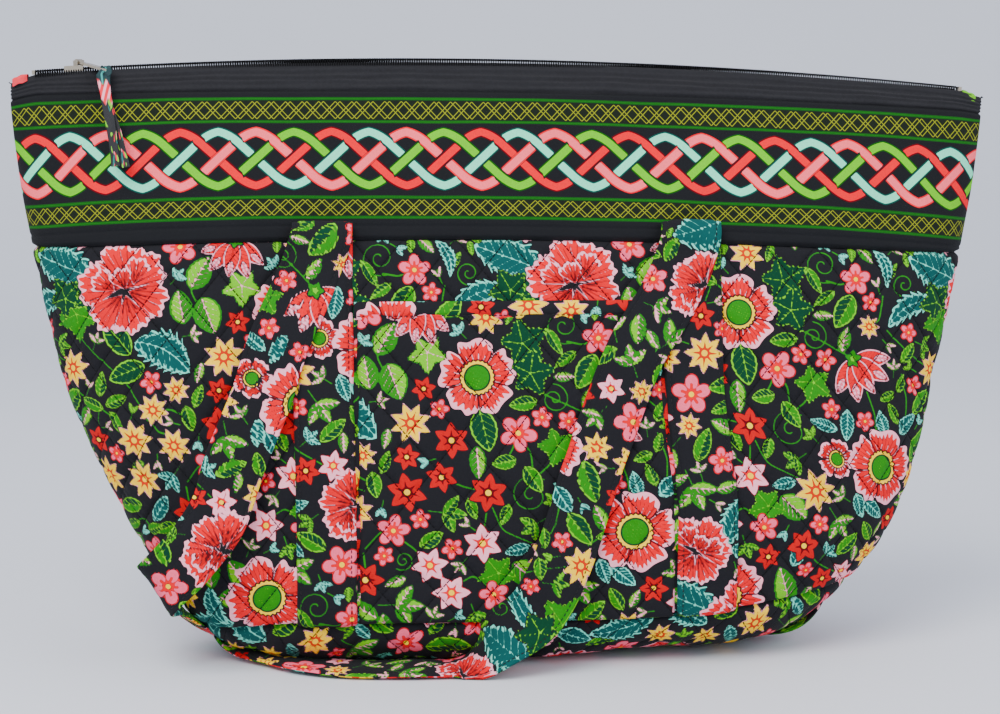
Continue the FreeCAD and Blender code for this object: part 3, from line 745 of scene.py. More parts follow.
class Nodes:
    """Short names for building a node material."""

    def __init__(self, name):
        self.material = bpy.data.materials.new(name)
        self.material.use_nodes = True
        self.tree = self.material.node_tree
        self.shader = self.tree.nodes["Principled BSDF"]

    def new(self, kind, **settings):
        node = self.tree.nodes.new(kind)
        for key, value in settings.items():
            setattr(node, key, value)
        return node

    def wire(self, source, target):
        if isinstance(source, (int, float)):
            target.default_value = source
        else:
            self.tree.links.new(source, target)

    def math(self, operation, a, b=0.0, c=0.0, clamp=False):
        node = self.new("ShaderNodeMath", operation=operation, use_clamp=clamp)
        for socket, value in zip(node.inputs, (a, b, c)):
            self.wire(value, socket)
        return node.outputs[0]

    def split(self, vector):
        node = self.new("ShaderNodeSeparateXYZ")
        self.wire(vector, node.inputs[0])
        return node.outputs

    def attribute(self, name):
        return self.new("ShaderNodeAttribute", attribute_name=name)

    def place(self):
        """The place on the object, in metres."""
        return self.new("ShaderNodeTexCoord").outputs["Object"]

    def cloth(self):
        """The place on the flat cloth, in mm: across and down."""
        return self.split(self.attribute("cloth").outputs["Vector"])

    def mix(self, share, a, b, mode="MIX"):
        """Colours a and b, each a socket or a linear colour."""
        node = self.new("ShaderNodeMix", data_type="RGBA", blend_type=mode)
        self.wire(share, node.inputs[0])
        for socket, value in ((node.inputs[6], a), (node.inputs[7], b)):
            if isinstance(value, tuple):
                socket.default_value = value
            else:
                self.tree.links.new(value, socket)
        return node.outputs[2]

    def noise(self, vector, scale, detail=3.0, rough=0.55):
        node = self.new("ShaderNodeTexNoise")
        if vector is not None:
            self.wire(vector, node.inputs["Vector"])
        node.inputs["Scale"].default_value = scale
        node.inputs["Detail"].default_value = detail
        node.inputs["Roughness"].default_value = rough
        return node.outputs["Fac"]

    def band(self, value, low, high, soft):
        """One between low and high, falling to zero over soft outside them."""
        rise = self.math("SUBTRACT", value, low)
        rise = self.math("MULTIPLY_ADD", rise, 1 / soft, 0.5, clamp=True)
        fall = self.math("SUBTRACT", high, value)
        fall = self.math("MULTIPLY_ADD", fall, 1 / soft, 0.5, clamp=True)
        return self.math("MULTIPLY", rise, fall)

    def bump(self, height, distance, strength, onto=None):
        node = self.new("ShaderNodeBump")
        node.inputs["Strength"].default_value = strength
        node.inputs["Distance"].default_value = distance
        self.wire(height, node.inputs["Height"])
        if onto is not None:
            self.wire(onto, node.inputs["Normal"])
        return node.outputs["Normal"]

    def finish(self, colour, normal=None, roughness=0.8, **plain):
        """Wires up the shader. Names in plain are its own sockets, with _ for a space."""
        if isinstance(colour, tuple):
            self.shader.inputs["Base Color"].default_value = colour
        else:
            self.wire(colour, self.shader.inputs["Base Color"])
        self.wire(roughness, self.shader.inputs["Roughness"])
        if normal is not None:
            self.wire(normal, self.shader.inputs["Normal"])
        for key, value in plain.items():
            self.shader.inputs[key.replace("_", " ")].default_value = value
        return self.material


def linear(red, green, blue):
    """A colour on the 0 to 255 scale as the shader takes it."""
    parts = []
    for value in (red, green, blue):
        value /= 255
        parts.append(value / 12.92 if value <= 0.04045 else ((value + 0.055) / 1.055) ** 2.4)
    return (*parts, 1.0)


FLORAL_PALETTE = [
    (222, 8, 26), (250, 164, 182), (90, 2, 14), (190, 4, 12), (250, 200, 22), (200, 36, 6),
    (242, 92, 122), (106, 184, 0), (30, 122, 14), (2, 56, 34), (0, 74, 72), (110, 210, 188),
]
BAND_PALETTE = [
    (228, 2, 28), (114, 222, 182), (250, 96, 108), (98, 184, 0), (84, 2, 14), (2, 70, 62),
    (4, 74, 8), (0, 0, 0), (0, 0, 0), (0, 0, 0), (0, 0, 0), (14, 15, 18),
]
GROUND = linear(24, 24, 28)
QUILT_W, QUILT_H = 33.0, 40.0
QUILT_STEP = 1 / math.hypot(1 / QUILT_W, 1 / QUILT_H)


def inked(nodes, palette, ground):
    """The ink whose distance is lowest wherever it is below zero, over the ground colour."""
    colour = ground
    best = 0.0
    for k, name in enumerate(("ink_a", "ink_b", "ink_c")):
        layer = nodes.attribute(name)
        parts = nodes.new("ShaderNodeSeparateColor")
        nodes.wire(layer.outputs["Color"], parts.inputs[0])
        for j, field in enumerate((*parts.outputs[:3], layer.outputs["Alpha"])):
            ink = palette[4 * k + j]
            if ink == (0, 0, 0):
                continue
            lower = nodes.math("SUBTRACT", best, field)
            shown = nodes.math("MULTIPLY_ADD", lower, 5.0, 0.5, clamp=True)
            colour = nodes.mix(shown, colour, linear(*ink))
            best = nodes.math("MINIMUM", best, field)
    return colour


def woven(nodes, u, v, pitch=0.42):
    """A plain weave's height from cloth coordinates in mm."""
    across = nodes.math("SINE", nodes.math("MULTIPLY", u, 2 * math.pi / pitch))
    down = nodes.math("SINE", nodes.math("MULTIPLY", v, 2 * math.pi / pitch))
    return nodes.math("MULTIPLY", across, down)


def stitch_run(nodes, away, along, half_width=0.34, pitch=3.1, share=0.78):
    """Where a run of stitches shows, from the distance to its line and the way along it."""
    beside = nodes.math("SUBTRACT", half_width, away)
    beside = nodes.math("MULTIPLY_ADD", beside, 5.0, 0.5, clamp=True)
    place = nodes.math("FRACT", nodes.math("MULTIPLY", along, 1 / pitch))
    dash = nodes.math("SUBTRACT", share, place)
    dash = nodes.math("MULTIPLY_ADD", dash, 12.0, 0.5, clamp=True)
    return nodes.math("MULTIPLY", beside, dash)


def cotton(name, palette=FLORAL_PALETTE, quilted=False, band=False):
    """Printed cotton from the ink attributes and the cloth attribute, both in mm."""
    nodes = Nodes(name)
    u, v, _ = nodes.cloth()
    colour = inked(nodes, palette, linear(21, 22, 25) if band else GROUND)
    if band:
        colour = band_print(nodes, colour, u, v)
    place = nodes.place()
    fade = nodes.math("MULTIPLY_ADD", nodes.noise(place, 22, 4), 0.22, 0.88)
    grain = nodes.math("MULTIPLY_ADD", nodes.noise(place, 900, 2), 0.34, 0.83)
    shade = nodes.new("ShaderNodeCombineColor")
    both = nodes.math("MULTIPLY", fade, grain)
    for socket in shade.inputs[:3]:
        nodes.wire(both, socket)
    colour = nodes.mix(1.0, colour, shade.outputs[0], "MULTIPLY")
    weave = woven(nodes, u, v)
    normal = nodes.bump(weave, 0.00012, 0.35)
    normal = nodes.bump(nodes.noise(place, 260, 4), 0.0006, 0.35, normal)
    if quilted:
        for sign in (1, -1):
            lines = nodes.math("MULTIPLY_ADD", v, sign / QUILT_H, nodes.math("MULTIPLY", u, 1 / QUILT_W))
            nearest = nodes.math("ABSOLUTE", nodes.math("SUBTRACT", lines, nodes.math("ROUND", lines)))
            away = nodes.math("MULTIPLY", nearest, QUILT_STEP)
            down = nodes.math("MULTIPLY", v, sign * QUILT_STEP / QUILT_W)
            along = nodes.math("SUBTRACT", nodes.math("MULTIPLY", u, QUILT_STEP / QUILT_H), down)
            thread = stitch_run(nodes, away, along)
            colour = nodes.mix(thread, colour, linear(14, 14, 17))
            normal = nodes.bump(thread, 0.0004, 0.6, normal)
    return nodes.finish(colour, normal, 0.85, Sheen_Weight=0.02, Specular_IOR_Level=0.1)


LATTICE_PERIOD = 21.0


def lattice(nodes, u, v, top, tall):
    """Fine crossing zigzags between two levels."""
    shown = None
    rise = nodes.math("DIVIDE", nodes.math("SUBTRACT", v, top), tall)
    for phase in (0.0, 0.14, 0.5, 0.64):
        along = nodes.math("FRACT", nodes.math("MULTIPLY_ADD", u, 1 / LATTICE_PERIOD, phase + 200))
        wave = nodes.math("ABSOLUTE", nodes.math("MULTIPLY_ADD", along, 2.0, -1.0))
        gap = nodes.math("ABSOLUTE", nodes.math("SUBTRACT", rise, wave))
        line = nodes.math("MULTIPLY_ADD", gap, -24.0, 1.15, clamp=True)
        shown = line if shown is None else nodes.math("MAXIMUM", shown, line)
    return nodes.math("MULTIPLY", shown, nodes.band(v, top, top + tall, 0.3))


def band_print(nodes, colour, u, v):
    """The borders above and below the knotwork."""
    for top, tall in ((8.3, 12.5), (77.0, 10.8)):
        inside = nodes.band(v, top - 0.7, top + tall + 0.7, 0.3)
        colour = nodes.mix(inside, colour, linear(20, 27, 18))
        colour = nodes.mix(lattice(nodes, u, v, top, tall), colour, linear(142, 148, 28))
    for low, high in ((5.3, 7.4), (21.6, 23.6), (74.3, 76.4), (88.2, 90.2)):
        colour = nodes.mix(nodes.band(v, low, high, 0.35), colour, linear(12, 80, 12))
        middle = (low + high) / 2
        colour = nodes.mix(nodes.band(v, middle - 0.1, middle + 0.1, 0.4), colour, linear(30, 108, 22))
    return colour


def plain_cloth(name, colour, second, scale=380, sheen=0.04, pitch=0.55):
    """Unprinted cloth with a weave and a little unevenness."""
    nodes = Nodes(name)
    place = nodes.place()
    x, _, z = nodes.split(place)
    mottle = nodes.noise(place, scale, 4)
    tint = nodes.mix(mottle, linear(*colour), linear(*second))
    across = nodes.math("SINE", nodes.math("MULTIPLY", x, 2000 * math.pi / pitch))
    down = nodes.math("SINE", nodes.math("MULTIPLY", z, 2000 * math.pi / pitch))
    normal = nodes.bump(nodes.math("MULTIPLY", across, down), 0.00012, 0.4)
    normal = nodes.bump(mottle, 0.0005, 0.4, normal)
    return nodes.finish(tint, normal, 0.85, Sheen_Weight=sheen, Specular_IOR_Level=0.2)


def tape_cloth():
    """Black herringbone tape."""
    nodes = Nodes("zip_tape_weave")
    u, v, _ = nodes.cloth()
    column = nodes.math("PINGPONG", v, 1.6)
    rib = nodes.math("SINE", nodes.math("MULTIPLY", nodes.math("ADD", u, column), 2 * math.pi / 0.9))
    place = nodes.place()
    fuzz = nodes.noise(place, 500, 4)
    colour = nodes.mix(fuzz, linear(12, 12, 14), linear(32, 32, 36))
    lit = nodes.math("MULTIPLY_ADD", rib, 0.2, 0.2, clamp=True)
    colour = nodes.mix(lit, colour, linear(40, 40, 45))
    normal = nodes.bump(rib, 0.00018, 0.6)
    normal = nodes.bump(fuzz, 0.0004, 0.4, normal)
    return nodes.finish(colour, normal, 0.8, Sheen_Weight=0.03, Specular_IOR_Level=0.2)


def metal(name, colour, second):
    """Plated metal with scuffs."""
    nodes = Nodes(name)
    place = nodes.place()
    wear = nodes.noise(place, 700, 5, 0.6)
    scuff = nodes.noise(place, 2600, 3, 0.6)
    tint = nodes.mix(wear, linear(*colour), linear(*second))
    rough = nodes.math("MULTIPLY_ADD", wear, 0.28, 0.16)
    normal = nodes.bump(scuff, 0.00004, 0.4)
    return nodes.finish(tint, normal, rough, Metallic=1.0)


def nylon(name, colour, second):
    """Dull moulded nylon."""
    nodes = Nodes(name)
    place = nodes.place()
    mottle = nodes.noise(place, 900, 3)
    tint = nodes.mix(mottle, linear(*colour), linear(*second))
    rough = nodes.math("MULTIPLY_ADD", mottle, 0.15, 0.7)
    return nodes.finish(tint, nodes.bump(mottle, 0.00005, 0.3), rough, Specular_IOR_Level=0.06)


def board_card():
    """Grey card with fibres."""
    nodes = Nodes("stiff_card")
    place = nodes.place()
    fibre = nodes.noise(place, 420, 6, 0.7)
    tint = nodes.mix(fibre, linear(150, 146, 138), linear(186, 182, 172))
    return nodes.finish(tint, nodes.bump(fibre, 0.0002, 0.5), 0.9)


def ribbon_cloth():
    """Printed ribbon: teal at its loop, coral and pink below it, then long streaks on black."""
    nodes = Nodes("ribbon_weave")
    across, along, _ = nodes.cloth()
    colour = linear(20, 21, 25)
    for seed, low, high, ink in (
        (3.0, 0.60, 0.62, (118, 190, 4)), (11.0, 0.66, 0.68, (228, 22, 50)),
        (23.0, 0.67, 0.69, (250, 140, 160)), (37.0, 0.68, 0.70, (4, 100, 96)),
    ):
        place = nodes.new("ShaderNodeCombineXYZ")
        nodes.wire(nodes.math("MULTIPLY_ADD", across, 0.30, seed), place.inputs[0])
        nodes.wire(nodes.math("MULTIPLY_ADD", along, 0.085, seed * 1.7), place.inputs[1])
        streak = nodes.noise(place.outputs[0], 1.0, 1.0)
        shown = nodes.math("MULTIPLY", nodes.math("SUBTRACT", streak, low), 1 / (high - low), clamp=True)
        colour = nodes.mix(shown, colour, linear(*ink))
    waver = nodes.math("MULTIPLY", nodes.math("SINE", nodes.math("MULTIPLY", across, 1.1)), 2.0)
    reach = nodes.math("ADD", along, waver)
    slant = nodes.math("MULTIPLY_ADD", along, 0.42, across)
    pale = nodes.math("PINGPONG", slant, 2.4)
    fold = nodes.mix(nodes.band(pale, 1.3, 3.0, 0.4), linear(226, 18, 44), linear(250, 160, 176))
    colour = nodes.mix(nodes.band(reach, 14.0, 27.0, 2.0), colour, fold)
    weft = nodes.band(across, -2.2, -0.9, 0.7)
    teal = nodes.mix(weft, linear(1, 44, 48), linear(50, 150, 142))
    colour = nodes.mix(nodes.band(reach, -40.0, 13.0, 1.5), colour, teal)
    rib = nodes.math("SINE", nodes.math("MULTIPLY", along, 2 * math.pi / 0.6))
    normal = nodes.bump(rib, 0.0001, 0.5)
    return nodes.finish(colour, normal, 0.6, Sheen_Weight=0.05, Specular_IOR_Level=0.3)


def stage_finish(name, colour, second):
    nodes = Nodes(name)
    place = nodes.place()
    drift = nodes.noise(place, 2.5, 3)
    tint = nodes.mix(drift, linear(*colour), linear(*second))
    return nodes.finish(tint, None, 0.75, Specular_IOR_Level=0.2)


FLORAL = cotton("floral_cotton")
QUILTED = cotton("quilted_floral_cotton", quilted=True)
BANDED = cotton("knotwork_cotton", BAND_PALETTE, band=True)
TAPE = tape_cloth()
THREAD = plain_cloth("black_thread", (10, 10, 12), (30, 30, 34), 1800, 0.05, 0.3)
LINING = plain_cloth("lining_cotton", (70, 84, 92), (92, 108, 116))
METAL = metal("warm_nickel", (196, 186, 170), (150, 140, 124))
COIL = nylon("coil_nylon", (5, 5, 6), (17, 17, 19))
CARD = board_card()
RIBBON = ribbon_cloth()
CORAL_TAB = plain_cloth("coral_cotton", (206, 10, 26), (232, 70, 84), 260)
LIME_TAB = plain_cloth("lime_cotton", (66, 150, 0), (124, 188, 26), 260)

# ------------------------------------------------------------------ surface relief


def outward_normals(grid):
    """The normals of a cloth on the front or the back before it is turned, away from the bag."""
    normal = grid_normals(grid)
    return -normal if normal[5, 5, 1] > 0 else normal


def quilt_relief(u, v, depth):
    """Padded diamonds with drawn-in stitch lines and fine puckers beside them, in mm."""
    a = u / QUILT_W + v / QUILT_H
    b = u / QUILT_W - v / QUILT_H
    near_a = np.abs(a - np.round(a)) * QUILT_STEP
    near_b = np.abs(b - np.round(b)) * QUILT_STEP
    pillow = np.sqrt(np.abs(np.sin(math.pi * a) * np.sin(math.pi * b)))
    groove = (1 - np.exp(-near_a / 1.5)) * (1 - np.exp(-near_b / 1.5))
    relief = depth * (0.55 * groove + 0.45 * pillow)
    for near, along, seed in ((near_a, b, 5), (near_b, a, 9)):
        waver = np.sin(along * 2 * math.pi * 4.2 + 2.4 * wander(u, v, 60, seed))
        relief += 0.16 * depth * waver * np.exp(-near / 3.2) * (near > 0.3) * groove
    return relief


def seam_dip(distance, depth=2.2, reach=1.6):
    """How far cloth turns in beside a seam."""
    return -depth * np.exp(-(distance / reach) ** 2)


def soft_body(u, v, amount, seed):
    """The slack unevenness of padded cloth."""
    return amount * (0.65 * wander(u, v * 0.6, 150, seed) + 0.35 * wander(u, v, 62, seed + 1))


def cloth_piece(name, grid, cloth, relief, material, inks=None, flip=False):
    """A piece from a grid in mm, moved out along its own normals by relief."""
    normal = grid_normals(grid)
    towards = normal[grid.shape[0] // 2, grid.shape[1] // 2, 1]
    if towards > 0:
        normal = -normal
    points = (grid + normal * relief[..., None]).reshape(-1, 3)
    if flip:
        points = to_back(points)
    quads = grid_quads(grid.shape[0], grid.shape[1], flip=towards < 0)
    mesh = mesh_from(name, points * MM, quads)
    set_cloth(mesh, cloth)
    if inks is not None:
        set_inks(mesh, inks)
    mesh.materials.append(material)
    return link(name, mesh)


def place(piece, body, slot, *replaced, fill=None):
    """The piece rides on a body and stands for its CAD nodes; slot is not used."""
    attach(piece, body)
    if replaced:
        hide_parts(*replaced)
    return piece


print_tile = floral_tile()
braid = knot_tile()


def floral_inks(u, v, shift_u=0.0, shift_v=0.0):
    """The print's inks at cloth places: u from the bag's middle, v down from the quilt's top."""
    return print_tile.sample(u.ravel() + shift_u, v.ravel() + shift_v)


# ------------------------------------------------------------------ stitches


TOPSTITCH = (3.3, 2.5, 0.33)        # pitch, length and radius, mm
TACK_STITCH = (2.2, 1.9, 0.42)


def stitches(name, line, normal, pitch, length, radius):
    """Real stitches along a line of points, in mm, each sunk into the cloth at its ends."""
    along = run_length(line)
    starts = np.arange(pitch * 0.5, along[-1] - length, pitch)
    rings, sides = 6, 6
    angle = np.arange(sides) * 2 * math.pi / sides
    points, quads = [], []
    for count, start in enumerate(starts):
        places = np.linspace(start, start + length, rings)
        middle = np.stack([np.interp(places, along, line[:, k]) for k in range(3)], 1)
        up = np.stack([np.interp(places, along, normal[:, k]) for k in range(3)], 1)
        up /= np.linalg.norm(up, axis=1, keepdims=True)
        ahead = np.gradient(middle, axis=0)
        ahead /= np.linalg.norm(ahead, axis=1, keepdims=True)
        beside = np.cross(ahead, up)
        share = np.linspace(-1, 1, rings)
        rise = radius * (0.55 - 1.5 * np.abs(share) ** 4)
        thick = radius * (1 - 0.45 * share ** 4)
        middle = middle + up * rise[:, None]
        for k in range(sides):
            offset = np.cos(angle[k]) * beside + np.sin(angle[k]) * up
            points.append(middle + offset * thick[:, None])
        quads.append(bar_quads(sides, rings, count * sides * rings))
    mesh = mesh_from(name, np.concatenate(points) * MM, np.concatenate(quads))
    mesh.materials.append(THREAD)
    return link(name, mesh)


def joined(name, pieces):
    """Several plain meshes of one material as one object."""
    points, quads, start = [], [], 0
    for piece in pieces:
        mesh = piece.data
        some = np.zeros(len(mesh.vertices) * 3, np.float32)
        mesh.vertices.foreach_get("co", some)
        corners = np.zeros(len(mesh.loops), np.int32)
        mesh.loops.foreach_get("vertex_index", corners)
        points.append(some.reshape(-1, 3))
        quads.append(corners.reshape(-1, 4) + start)
        start += len(mesh.vertices)
    material = pieces[0].data.materials[0]
    for piece in pieces:
        bpy.data.meshes.remove(piece.data)
    mesh = mesh_from(name, np.concatenate(points), np.concatenate(quads))
    mesh.materials.append(material)
    return link(name, mesh)


# ------------------------------------------------------------------ quilted panels and band

BAND_STRETCH = 1.063     # the print's own lengths for one of the cloth's, down the band


def edges(cloth, top=True):
    """Distance to the nearest sewn edge of a cloth, in mm, its top edge counted or not."""
    across, down = cloth[..., 0], cloth[..., 1]
    nearest = np.minimum(across - across[:, :1], across[:, -1:] - across)
    if top:
        nearest = np.minimum(nearest, down)
    return np.minimum(nearest, down[-1:] - down)


def add_panel(side, pitch, seed):
    """The quilted cloth between the band and the base."""
    grid, cloth = whole_width(on_side(band_low, side), on_side(base_seam, side), pitch, side)
    u, v = cloth[..., 0], cloth[..., 1]
    near = edges(cloth)
    calm = 1 - np.exp(-near / 9)
    relief = quilt_relief(u, v, 2.3) * (1 - np.exp(-near / 3)) + soft_body(u, v, 1.5, seed) * calm
    relief += seam_dip(near)
    inks = floral_inks(u, v, 0.0 if side == "front" else 96.0, 0.0 if side == "front" else 40.0)
    name = f"{side}_quilted_cotton"
    piece = cloth_piece(name, grid, cloth, relief, QUILTED, inks, side == "back")
    place(piece, "bag", "floral_print", f"{side}_quilted_panel", fill=0.55)


def add_band(side, pitch, seed):
    """The printed band under the zip's tape."""
    grid, cloth = whole_width(on_side(band_top, side), on_side(band_low, side), pitch, side)
    u, v = cloth[..., 0], cloth[..., 1] * BAND_STRETCH
    cloth[..., 1] = v
    near = edges(cloth)
    calm = 1 - np.exp(-near / 8)
    relief = 1.2 + soft_body(u, v, 1.6, seed) * calm + seam_dip(near, 2.4, 1.5)
    ridge = np.exp(-((v - 95.0) / 1.1) ** 2)
    relief -= 0.5 * ridge
    inks = braid.sample(u.ravel() + KNOT_START, v.ravel() - KNOT_MIDDLE + KNOT_TALL)
    inks[np.abs(v.ravel() - KNOT_MIDDLE) > KNOT_TALL - 1.5] = 4.0
    piece = cloth_piece(f"{side}_knotwork_band", grid, cloth, relief, BANDED, inks, side == "back")
    place(piece, "bag", "band_print", f"{side}_band", fill=0.3)


add_panel("front", 0.8, 11)
add_panel("back", 1.25, 29)
add_band("front", 0.66, 17)
add_band("back", 1.0, 37)

# ------------------------------------------------------------------ base


def seam_ring(fraction, columns):
    """One level of the base from its seam (0) to the floor (1): front points, left to right."""
    share = eased_share(601, 1.15)
    x = share * 200.0
    for _ in range(6):
        z = base_seam(x) * (1 - fraction)
        x = share * level(z, 1)
    y = -depth_at(x, z)
    y[[0, -1]] = 0
    line = np.stack([x, y, z], 1)
    along = run_length(line)
    places = np.linspace(0, along[-1], columns)
    ring = slumped(np.stack([np.interp(places, along, line[:, k]) for k in range(3)], 1))
    sag = -4.5 * np.exp(-((ring[:, 0] + 165) / 45) ** 2) + 5.5 * np.exp(-((ring[:, 0] - 90) / 45) ** 2)
    ring[:, 2] += sag * fraction ** 0.5
    return ring


def add_base(pitch):
    """The base in one cloth, from the front seam round under the bag to the back seam."""
    columns = int(round(520 / pitch))
    fall = np.linspace(0, 1, int(round(52 / pitch))) ** 1.25
    rings = [seam_ring(fraction, columns) for fraction in fall]
    for share in np.linspace(1, 0, int(round(26 / pitch)))[1:]:
        rings.append(rings[len(fall) - 1] * np.array([1.0, share, 1.0]))
    front = np.array(rings)
    back = front[::-1] * np.array([1.0, -1.0, 1.0])
    grid = np.concatenate([front, back[1:]])
    cloth = np.zeros(grid.shape[:2] + (2,))
    steps = np.linalg.norm(np.diff(grid, axis=0), axis=2)
    middle = columns // 2
    cloth[1:, :, 1] = np.cumsum(steps[:, middle - 5:middle + 5].mean(1))[:, None]
    across = np.linalg.norm(np.diff(grid, axis=1), axis=2)
    cloth[:, 1:, 0] = np.cumsum(across, axis=1)
    cloth[..., 0] -= cloth[:, middle:middle + 1, 0]
    near = np.minimum(cloth[..., 1], cloth[-1:, :, 1] - cloth[..., 1])
    relief = seam_dip(near, 2.2, 1.6)
    under = np.clip(grid[..., 2] / 6, 0, 1)
    slack = 0.9 + soft_body(cloth[..., 0], cloth[..., 1], 1.4, 51)
    relief += under * (1 - np.exp(-near / 5)) * (slack + quilt_relief(cloth[..., 0], cloth[..., 1], 1.7))
    inks = floral_inks(cloth[..., 0], cloth[..., 1], 12.0, 262.0)
    normal = grid_normals(grid)
    inward = normal[len(front) // 3, middle, 1] > 0
    points = (grid + normal * (-relief if inward else relief)[..., None]).reshape(-1, 3)
    points[:, 2] = np.maximum(points[:, 2], 0.15)
    mesh = mesh_from("base_cotton", points * MM, grid_quads(*grid.shape[:2], flip=not inward))
    set_cloth(mesh, cloth)
    set_inks(mesh, inks)
    mesh.materials.append(QUILTED)
    place(link("base_cotton", mesh), "bag", "floral_print", "base_panel", fill=0.5)


add_base(1.1)

# ------------------------------------------------------------------ sewn straps and pocket

STRAP_HALF, STRAP_X, STRAP_TOP = 19.0, 117.0, 281.0
STRAP_PROUD, STRAP_INSET = 3.4, 3.2         # STRAP_INSET: its topstitching, in from its edges


def flat_height(height):
    return lambda x: np.full_like(x, height)


def strap_profile(across):
    """The height of a folded strap over its width."""
    share = np.clip(np.abs(across) / STRAP_HALF, 0, 1)
    return STRAP_PROUD * (1 - share ** 7) ** (1 / 2.2)


def add_sewn_strap(side, hand, x, pitch, seed):
    """The sewn length of a strap with its topstitching; gives back its bar tacks' stitches."""
    sides = (x - STRAP_HALF, x + STRAP_HALF)
    grid, cloth = patch(*sides, flat_height(STRAP_TOP), on_side(base_seam, side), pitch, side)
    across = cloth[..., 0] - x
    v = cloth[..., 1]
    ends = np.minimum(v, v[-1:] - v)
    relief = 2.0 + strap_profile(across)
    relief += 0.5 * (1 - np.exp(-ends / 6)) * np.cos(across / STRAP_HALF * math.pi / 2)
    relief += 0.45 * soft_body(across, v, 1.0, seed) - 2.6 * np.exp(-(v[-1:] - v) ** 2 / 4)
    for line in (-1, 1):
        relief -= 0.7 * np.exp(-((across - line * (STRAP_HALF - STRAP_INSET)) / 0.9) ** 2)
    inks = floral_inks(grid[..., 0], v, 41.0 + (0 if hand == "left" else 133.0), 66.0)
    name = f"{side}_sewn_strap_{hand}"
    piece = cloth_piece(name, grid, cloth, relief, FLORAL, inks, side == "back")
    place(piece, "bag", "floral_print", f"{side}_strap_{hand}", fill=0.4)
    normal = outward_normals(grid)
    columns = grid.shape[1]
    inset = int(round(STRAP_INSET / (2 * STRAP_HALF) * (columns - 1)))
    runs = []
    for k, column in enumerate((inset, columns - 1 - inset)):
        line = turned(grid[:, column] + normal[:, column] * relief[:, column, None], side)
        up = turned(normal[:, column], side)
        runs.append(stitches(f"{name}_run_{k}", line, up, *TOPSTITCH))
    stitched = joined(f"{name}_topstitching", runs)
    place(stitched, "bag", "dark_thread")
    tack_lines = []
    for k, down in enumerate((7.0, 8.4, 24.0, 25.4)):
        row = int(np.argmin(np.abs(v[:, 0] - down)))
        span = slice(inset, columns - inset)
        line = turned(grid[row, span] + normal[row, span] * relief[row, span, None], side)
        up = turned(normal[row, span], side)
        tack_lines.append(stitches(f"{name}_tack_{k}", line, up, *TACK_STITCH))
    return tack_lines


for side in ("front", "back"):
    pitch = 0.8 if side == "front" else 1.2
    tacks = []
    for hand, x in (("left", -STRAP_X), ("right", STRAP_X)):
        tacks += add_sewn_strap(side, hand, x, pitch, 61)
    place(joined(f"{side}_tack_stitching", tacks), "bag", "dark_thread", f"{side}_bar_tacks")

POCKET_HALF, POCKET_TOP, BINDING_LOW = 97.0, 235.0, 224.0


def add_pocket():
    """The slip pocket between the front straps and the binding along its top."""
    grid, cloth = patch(-POCKET_HALF, POCKET_HALF, flat_height(POCKET_TOP - 4), base_seam, 0.8)
    u, v = cloth[..., 0], cloth[..., 1] + 40.0
    cloth[..., 1] = v
    near = edges(cloth - np.array([0, 40.0]), top=False)
    relief = 3.0 + quilt_relief(u, v, 2.2) * (1 - np.exp(-near / 3))
    relief += soft_body(u, v, 1.2, 71) * (1 - np.exp(-near / 9)) + seam_dip(near, 2.6, 1.6)
    inks = floral_inks(u, v, 168.0, -40.0)
    piece = cloth_piece("pocket_quilted_cotton", grid, cloth, relief, QUILTED, inks)
    place(piece, "bag", "floral_print", "front_pocket_panel", fill=0.5)
    sides = (-POCKET_HALF - 0.6, POCKET_HALF + 0.6)
    grid, cloth = patch(*sides, flat_height(POCKET_TOP), flat_height(BINDING_LOW), 0.7)
    u, v = cloth[..., 0], cloth[..., 1]
    tall = v[-1:]
    roll = np.clip(v / tall, 0, 1)
    relief = 2.6 + 3.2 * np.sin(math.pi * np.clip(roll, 0.02, 0.98)) ** 0.45
    relief += 0.25 * wander(u, v * 3, 24, 77)
    relief -= 0.55 * np.exp(-((v - tall + 2.0) / 0.8) ** 2)
    inks = floral_inks(u, v, 30.0, 120.0)
    piece = cloth_piece("pocket_binding_cotton", grid, cloth, relief, FLORAL, inks)
    place(piece, "bag", "binding_cloth", "front_pocket_binding", fill=0.4)
    normal = outward_normals(grid)
    row = int(np.argmin(np.abs(v[:, 0] - (tall[0, 0] - 2.0))))
    line = grid[row] + normal[row] * relief[row, :, None]
    run = stitches("pocket_binding_topstitching", line, normal[row], *TOPSTITCH)
    place(run, "bag", "dark_thread")


add_pocket()

# ------------------------------------------------------------------ zip

TAB_HALF, TAB_THICK, TAB_DROP = 5.0, 1.8, 3.4


def crest_place(x, rise=0.0):
    """A point over the zip's arch and the way along it, in mm."""
    slope = -(x - CREST_X) / math.sqrt(ZIP_RADIUS ** 2 - (x - CREST_X) ** 2)
    ahead = np.array([1.0, 0.0, slope]) / math.hypot(1.0, slope)
    up = np.array([-ahead[2], 0.0, ahead[0]])
    return np.array([x, 0.0, float(crest(np.array(x)))]) + up * rise, ahead, up


TAPE_FOLDS = ((8.6, 0.4, 85), (12.6, 0.6, 86), (15.8, 0.4, 87), (20.0, 0.35, 88))


